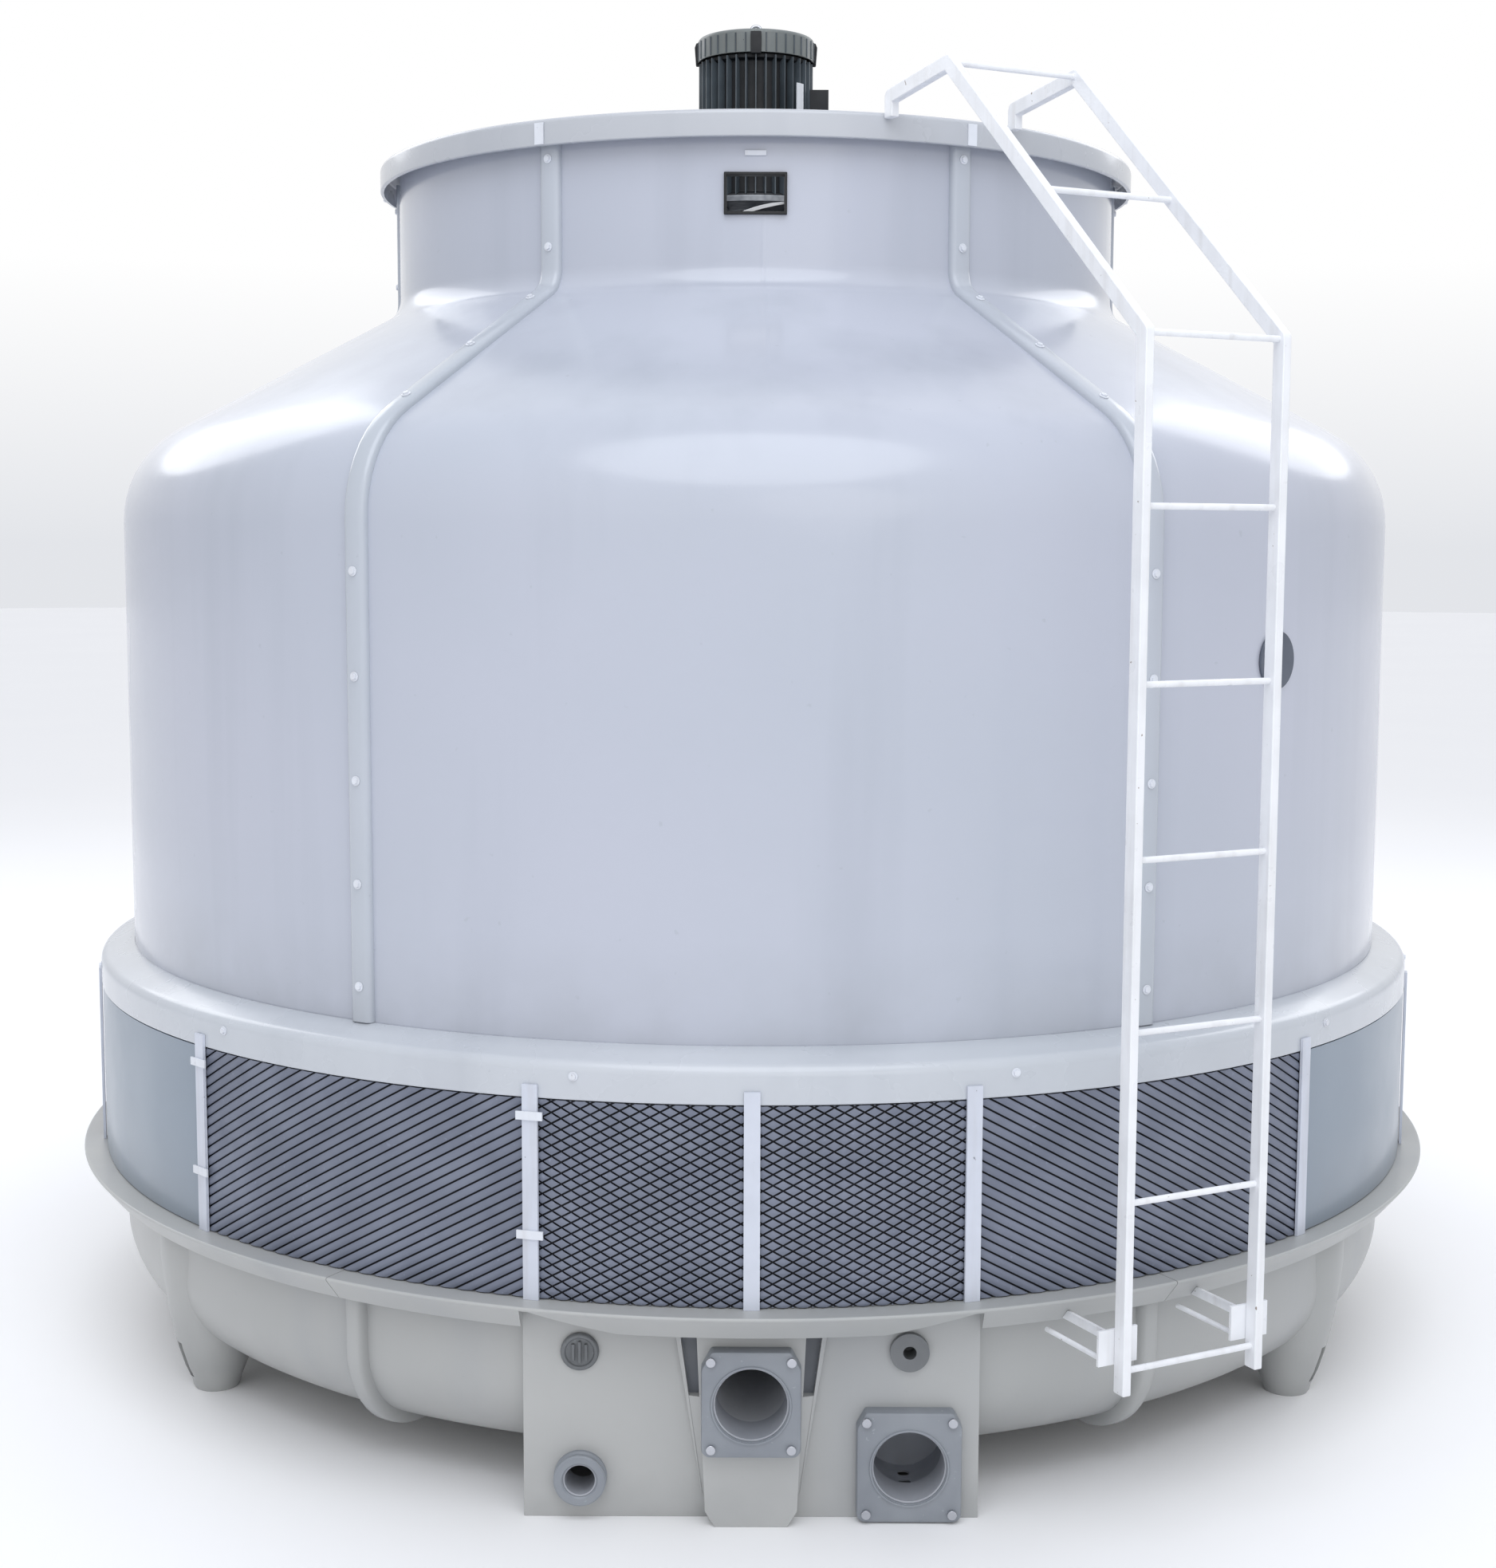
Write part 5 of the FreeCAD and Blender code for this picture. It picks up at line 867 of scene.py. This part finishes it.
def add_sump():
    softened("sump_box", sump_finish, TOWER, "sump", 0.007, 3)
    face = low("sump_box").y + COLUMN_PROUD
    top, foot = high("sump_box").z - 0.012, 0.050
    pocket = top - 0.165

    def slab(sign, height, near, far, near_depth, far_depth):
        """Four corners beside the column, at one height, from near to far off its side."""
        share = (height - foot) / (top - foot)
        side = COLUMN_LOW_HALF + (COLUMN_TOP_HALF - COLUMN_LOW_HALF) * share - 0.001
        spread = WEB_EDGE + (WEB_REACH - WEB_EDGE) * share
        near, far = side + near * spread, side + far * spread
        return [Vector((sign * across, face - depth, height)) for across, depth in
                ((near, -0.001), (near, near_depth), (far, far_depth), (far, -0.001))]

    webs, floors = [], []
    for sign in (-1, 1):
        webs.append(lofted([slab(sign, foot, 0, 1, 0.010, 0.008),
                            slab(sign, pocket, 0, 1, 0.026, 0.018)]))
        webs.append(lofted([slab(sign, foot, 0.8, 1.03, 0.010, 0.008),
                            slab(sign, top, 0.8, 1.03, 0.030, 0.024)]))
        floors.append(lofted([slab(sign, pocket - 0.001, 0, 0.9, 0.004, 0.004),
                              slab(sign, top, 0, 0.9, 0.004, 0.004)]))
    settle(bevelled(to_object("column_webs", merged(webs), sump_finish), 0.002, 2), TOWER, "sump")
    # The pocket floors are darker only as painted shade in the recess between web and column.
    settle(to_object("web_pocket_shade", merged(floors), pocket_shade_finish), TOWER, "sump")


PIPE_BORE, DRAIN_BORE = 0.070, 0.0315


def plate_moulding(node, hood):
    """A pipe plate with a sloping hood, two bosses and a deep round socket."""
    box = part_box(node)
    front, back = box[0].y, box[1].y
    centre = middle(node)
    depth = back - front
    half_width, half_height = (box[1].x - box[0].x) / 2, (box[1].z - box[0].z) / 2
    outline = rounded([
        (-half_width, -half_height, 0.016), (half_width, -half_height, 0.016),
        (half_width, half_height - hood, 0.012), (half_width - hood * 0.55, half_height, 0.008),
        (-half_width + hood * 0.55, half_height, 0.008), (-half_width, half_height - hood, 0.012)])
    rings = []
    for lift, shrink in ((0.0, 0.0), (0.75, 0.0), (0.93, 0.015), (1.0, 0.05)):
        rings.append([Vector((centre.x + point.x * (1 - shrink), back - depth * lift,
                              centre.z + point.y * (1 - shrink))) for point in outline])
    plate = to_object(node + "_moulding", lofted(rings), flange_finish)
    cut_with(plate, rod(Vector((centre.x, back + 0.01, centre.z)),
                        Vector((centre.x, front - 0.01, centre.z)), PIPE_BORE, 64))
    settle(plate, TOWER, "connection", node)
    lip = [(PIPE_BORE + 0.0005, -0.001), (PIPE_BORE + 0.006, -0.001),
           (PIPE_BORE + 0.0045, 0.003), (PIPE_BORE + 0.0015, 0.003)]
    raised = [forward_ring(lip, Vector((centre.x, front, centre.z)))]
    for side in (-1, 1):
        x = centre.x + side * (half_width - 0.026)
        z = centre.z + half_height - 0.022
        raised.append(rod(Vector((x, front + 0.012, z)), Vector((x, front + 0.0005, z)),
                          0.0085, 20, 0.85))
    settle(to_object(node + "_lip", merged(raised), flange_finish), TOWER, "connection")


def forward_ring(outline, centre, steps=64):
    """A closed (radius, forward) outline turned about an axis that looks forward."""
    rings = []
    for index in range(steps):
        turn = 2 * math.pi * index / steps
        rings.append([Vector((centre.x + point[0] * math.cos(turn), centre.y - point[1],
                              centre.z + point[0] * math.sin(turn))) for point in outline])
    return lofted(rings, closed=True)


def add_connections():
    plate_moulding("inlet_flange", 0.034)
    plate_moulding("outlet_flange", 0.030)
    softened("flange_bolts", steel_finish, TOWER, "fastener", 0.0012)
    face = high("drain_socket").y
    centre = Vector((middle("drain_socket").x, face, middle("drain_socket").z))
    outer, proud, bore = 0.050, face - low("drain_socket").y, DRAIN_BORE
    nut = outer - 0.001
    groove = outer - 0.004
    ring = forward_ring([
        (bore, 0.0), (outer, 0.0), (outer, 0.008), (groove, 0.011), (groove, 0.019),
        (nut, 0.021), (nut, proud - 0.002), (groove, proud), (bore + 0.003, proud),
        (bore, proud - 0.003)], centre)
    settle(to_object("drain_union", ring, flange_finish, 30), TOWER, "connection", "drain_socket")
    # Linings inside the sockets, in a colour lightened to paint the light that the deep bores lack.
    sockets = []
    for node, bore in (("inlet_flange", PIPE_BORE), ("outlet_flange", PIPE_BORE),
                       ("drain_socket", DRAIN_BORE)):
        radius = bore - 0.0002
        back = high(node).y
        centre = Vector((middle(node).x, back, middle(node).z))
        front = back - low(node).y
        sockets.append(forward_ring([(radius - 0.003, -0.06), (radius, -0.06),
                                     (radius, front - 0.006), (radius - 0.0028, front - 0.007)],
                                    centre, 48))
    settle(to_object("socket_linings", merged(sockets), bore_painted_light_finish), TOWER, "connection")
    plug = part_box("overflow_plug")
    centre = middle("overflow_plug")
    centre.y = low("sump_box").y + COLUMN_PROUD
    outer = (plug[1].x - plug[0].x) / 2
    proud = centre.y - plug[0].y
    cap = forward_ring([
        (0.0, -0.024), (0.026, -0.024), (0.026, 0.0), (outer, 0.0005), (outer, proud * 0.6),
        (outer - 0.003, proud * 0.85), (outer - 0.008, proud * 0.85), (outer - 0.010, proud * 0.55),
        (0.0, proud * 0.55)], centre)
    bars = [block((centre.x + shift - 0.003, plug[0].y, centre.z - reach),
                  (centre.x + shift + 0.003, centre.y - proud * 0.4, centre.z + reach))
            for shift, reach in ((-0.012, 0.016), (0.0, 0.021), (0.012, 0.016))]
    cover = to_object("overflow_cap", merged([cap] + bars), cap_finish, 30)
    settle(bevelled(cover, 0.0012, 2), "overflow_plug", "cap", "overflow_plug")
    softened("makeup_valve", cap_finish, TOWER, "connection", 0.002)
    softened("strainer", strainer_finish, TOWER, "steel", 0.0)
    softened("float_arm", brass_finish, "float", "brass", 0.0)
    softened("float_ball", float_finish, "float", "float", 0.0)


# ------------------------------------------------------------ air inlet

screen_in = 1.564
screen_out = high("screens_rear").y
REAR_BAYS = range(75, 285, 30)   # the angles at which the bays behind start


def add_screens():
    foot, top = low("screens_rear").z + 0.002, high("screens_rear").z - 0.002
    lean = math.radians(29)
    bays = [("screen_front_left", -15, 0, lean, True), ("screen_front_right", 0, 15, lean, True),
            ("screen_left", -45, -15, lean, False), ("screen_right", 15, 45, -lean, False)]
    for node, start, end, slope, crossed in bays:
        mesh = screen_slats(node + "_mesh", start + 0.2, end - 0.2, slope, crossed, foot, top)
        settle(mesh, TOWER, "screen", node)
    for index, start in enumerate(REAR_BAYS):
        mesh = screen_slats("screen_rear_%d" % (index + 1), start + 0.2, start + 29.8,
                            lean if index % 2 else -lean, False, foot, top)
        settle(mesh, TOWER, "screen")
    # A near-black sheet just inside the slats: painted shade, so the gaps between slats read dark.
    shade = sheet_outline(screen_in, screen_in + 0.001, foot, top)
    backs = [turned(shade, steps_between(start + 0.15, end - 0.15, TURN_STEP))
             for start, end in [(-45, -15), (-15, 0), (0, 15), (15, 45)] +
             [(start, start + 30) for start in REAR_BAYS]]
    backing = to_object("screen_shade", merged(backs), gap_shade_finish)
    settle(backing, TOWER, "screen", "screens_rear")
    blanks = [turned(sheet_outline(screen_in, screen_out - 0.002, foot, top),
                     steps_between(start + 0.15, start + 29.85, TURN_STEP),
                     lambda angle, point: 0.0006 * noise.noise(at_angle(angle, 30, 0)))
              for start in (-75, 45)]
    settle(to_object("blank_sheets", merged(blanks), blank_finish), TOWER, "screen")
    softened("screen_posts", post_finish, TOWER, "post", 0.0018)
    for index in range(1, 5):
        softened("turn_clip_%d" % index, clip_finish, "turn_clip_%d" % index, "clip", 0.0012)


# ------------------------------------------------------------ ladder and drive

def add_ladder():
    softened("ladder_rails", ladder_finish, TOWER, "ladder", 0.0025, 3)
    softened("ladder_rungs", ladder_finish, TOWER, "ladder", 0.0)
    softened("ladder_brackets", ladder_finish, TOWER, "ladder", 0.0015)


def upright_fins(name, count, radius, reach, width, foot, top):
    """Slim upright fins in a circle, thicker at their roots."""
    tree = Grower(name, count=count, radius=radius, reach=reach, width=width, foot=foot, top=top)
    given = tree.given
    tall = tree.math("SUBTRACT", given["top"], given["foot"])
    fin = tree.add("GeometryNodeMeshCube", {
        "Size": tree.vector(given["reach"], given["width"], tall),
        "Vertices X": 3, "Vertices Y": 2, "Vertices Z": 3}).outputs[0]
    here = tree.split(tree.add("GeometryNodeInputPosition").outputs[0])
    slim = tree.times(tree.times(here["X"], here["Y"]), -28.0)
    fin = tree.add("GeometryNodeSetPosition", {"Geometry": fin, "Offset": tree.vector(y=slim)})
    circle = tree.add("GeometryNodeMeshCircle", {
        "Vertices": given["count"], "Radius": given["radius"]}).outputs[0]
    outward = tree.add("GeometryNodeInputPosition").outputs[0]
    turn = tree.add("FunctionNodeAlignRotationToVector", {"Vector": outward}, axis="X").outputs[0]
    level = tree.midway(given["top"], given["foot"])
    fins = tree.moved(tree.placed(circle, fin.outputs[0], turn), translation=tree.vector(z=level))
    return tree.grow(name, fins, fin_finish, sharp=30)


def add_motor():
    core, fin_tip = 0.118, high("motor_body").y
    foot, top = low("motor_body").z, high("motor_body").z
    body = rounded([
        (0.0, foot), (fin_tip - 0.004, foot, 0.003), (fin_tip - 0.004, foot + 0.014, 0.003),
        (core, foot + 0.020, 0.004), (core, top - 0.014, 0.004), (core + 0.012, top - 0.010, 0.003),
        (core + 0.012, top, 0.002), (0.0, top)])
    frame_piece = to_object("motor_frame", turned(body, steps_between(0, 360, 6)), motor_finish)
    settle(frame_piece, TOWER, "motor", "motor_body")
    fins = upright_fins("cooling_fins", 36, (core + fin_tip) / 2 - 0.002, fin_tip - core + 0.003,
                        0.0036, foot + 0.012, top - 0.004)
    settle(fins, TOWER, "motor")
    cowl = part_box("motor_cowl")
    ribs = upright_fins("cowl_ribs", 36, cowl[1].x - 0.001, 0.006, 0.0034, cowl[0].z + 0.003,
                        cowl[1].z - 0.010)
    settle(ribs, TOWER, "motor")
    edge, lug_foot, lug_top = cowl[1].x, cowl[0].z - 0.004, cowl[1].z - 0.008
    lug = rounded([(edge - 0.004, lug_foot), (edge + 0.005, lug_foot),
                   (edge + 0.008, lug_top - 0.010), (edge + 0.004, lug_top),
                   (edge - 0.004, lug_top)])
    lugs = [turned(lug, steps_between(angle - 5, angle + 5, 2.5)) for angle in (0, 90, 180, 270)]
    settle(bevelled(to_object("cowl_lugs", merged(lugs), motor_finish), 0.0015, 2), TOWER, "motor")
    softened("motor_cowl", cowl_finish, TOWER, "cowl", 0.003, 3)
    softened("lifting_eye", steel_finish, TOWER, "fastener", 0.001)
    softened("terminal_box", motor_finish, TOWER, "motor", 0.003, 3)
    plate = turned(sheet_outline(fin_tip - 0.002, fin_tip + 0.0008, top - 0.130, top - 0.062),
                   steps_between(45, 55, 2.5))
    settle(to_object("blank_rating_plate", plate, label_finish), TOWER, "motor")
    softened("motor_mount", zinc_finish, TOWER, "steel", 0.002)
    softened("support_arms", zinc_finish, TOWER, "steel", 0.004)
    softened("motor_shaft", steel_finish, "fan_rotor", "fastener", 0.001)
    softened("cooling_fan", cap_finish, "fan_rotor", "cap", 0.001)
    softened("fan_hub", motor_finish, "fan_rotor", "motor", 0.003)
    softened("fan_blades", blade_finish, "fan_rotor", "blade", 0.002)


def add_inside():
    """The pieces behind the casing keep their shape and get their finish."""
    for node, material in (("fill_lower", film_finish), ("fill_upper", film_finish),
                           ("fill_support", zinc_finish), ("casing_stays", zinc_finish),
                           ("riser_pipe", pipe_finish), ("inlet_pipe", pipe_finish),
                           ("sprinkler_head", pipe_finish),
                           ("sprinkler_arms", pipe_finish)):
        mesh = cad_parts[node].data
        mesh.materials.clear()
        mesh.materials.append(material)


# ------------------------------------------------------------ studio

CAMERA_TURN, CAMERA_TILT, CAMERA_ROLL = 0.14, 6.17, 0.19     # degrees
CAMERA_PLACE, CAMERA_LENS = (0, -5.505, 1.824), 50.82
SIDE_DIMMING = 0.64
ZENITH_COLOUR = (0.97, 1.0, 1.08, 1)
HORIZON_COLOUR = (0.77, 0.785, 0.82, 1)


def add_studio():
    scene = bpy.context.scene
    scene.view_settings.view_transform = "Standard"
    camera = bpy.data.objects.new("camera", bpy.data.cameras.new("camera"))
    scene.collection.objects.link(camera)
    camera.data.sensor_width = 36
    camera.data.lens = CAMERA_LENS
    camera.data.clip_end = 200
    camera.location = CAMERA_PLACE
    aim = (Matrix.Rotation(math.radians(CAMERA_TURN), 4, "Z")
           @ Matrix.Rotation(math.radians(90 - CAMERA_TILT), 4, "X")
           @ Matrix.Rotation(math.radians(CAMERA_ROLL), 4, "Z"))
    camera.rotation_euler = aim.to_euler()
    scene.camera = camera

    floor = bmesh.new()
    bmesh.ops.create_circle(floor, cap_ends=True, segments=96, radius=60)
    ground = Finish("floor_paint", (0.93, 0.93, 0.935, 1), 0.6).clouds(
        (0.91, 0.91, 0.92, 1), 0.4, 0.5).done()
    to_object("floor", floor, ground)

    world = bpy.data.worlds.new("studio")
    scene.world = world
    world.use_nodes = True
    sky = Nodes(world.node_tree)
    way = sky.split(sky.add("ShaderNodeTexCoord").outputs["Generated"])
    aside = sky.ranged(sky.math("ABSOLUTE", way["X"]), 0.38, 0.85, 1.0, SIDE_DIMMING)
    backdrop = sky.mixed(sky.ranged(way["Z"], 0.0, 0.12), HORIZON_COLOUR, (1, 1, 1, 1))
    tone = sky.mixed(sky.ranged(way["Z"], 0.35, 0.9), backdrop, ZENITH_COLOUR)
    sky.tree.links.new(tone, world.node_tree.nodes["Background"].inputs["Color"])
    sky.tree.links.new(aside, world.node_tree.nodes["Background"].inputs["Strength"])
    lamps = [("overhead", (0, -4.4, 6.6), (0, -1.0, 1.8), 5.5, 150, (0.93, 0.96, 1.0)),
             ("front", (2.0, -9.0, 4.0), (0, 0, 1.2), 4.0, 30, (1, 0.99, 0.97)),
             ("back_left", (-5.6, 4.4, 6.2), (0, 0, 1.8), 5.0, 120, (0.97, 0.98, 1)),
             ("back_right", (5.6, 4.4, 6.2), (0, 0, 1.8), 5.0, 120, (0.97, 0.98, 1))]
    for name, place, target, size, power, colour in lamps:
        light = bpy.data.lights.new(name, "AREA")
        light.shape = "DISK"
        light.size = size
        light.energy = power
        light.color = colour
        lamp = bpy.data.objects.new(name, light)
        lamp.location = place
        lamp.rotation_euler = (Vector(target) - Vector(place)).to_track_quat("-Z", "Y").to_euler()
        scene.collection.objects.link(lamp)


add_casing()
add_straps()
add_casing_bolts()
add_stack_rim()
add_window_and_port()
add_skirt()
add_basin()
add_legs()
add_sump()
add_connections()
add_screens()
add_ladder()
add_motor()
add_inside()
add_studio()
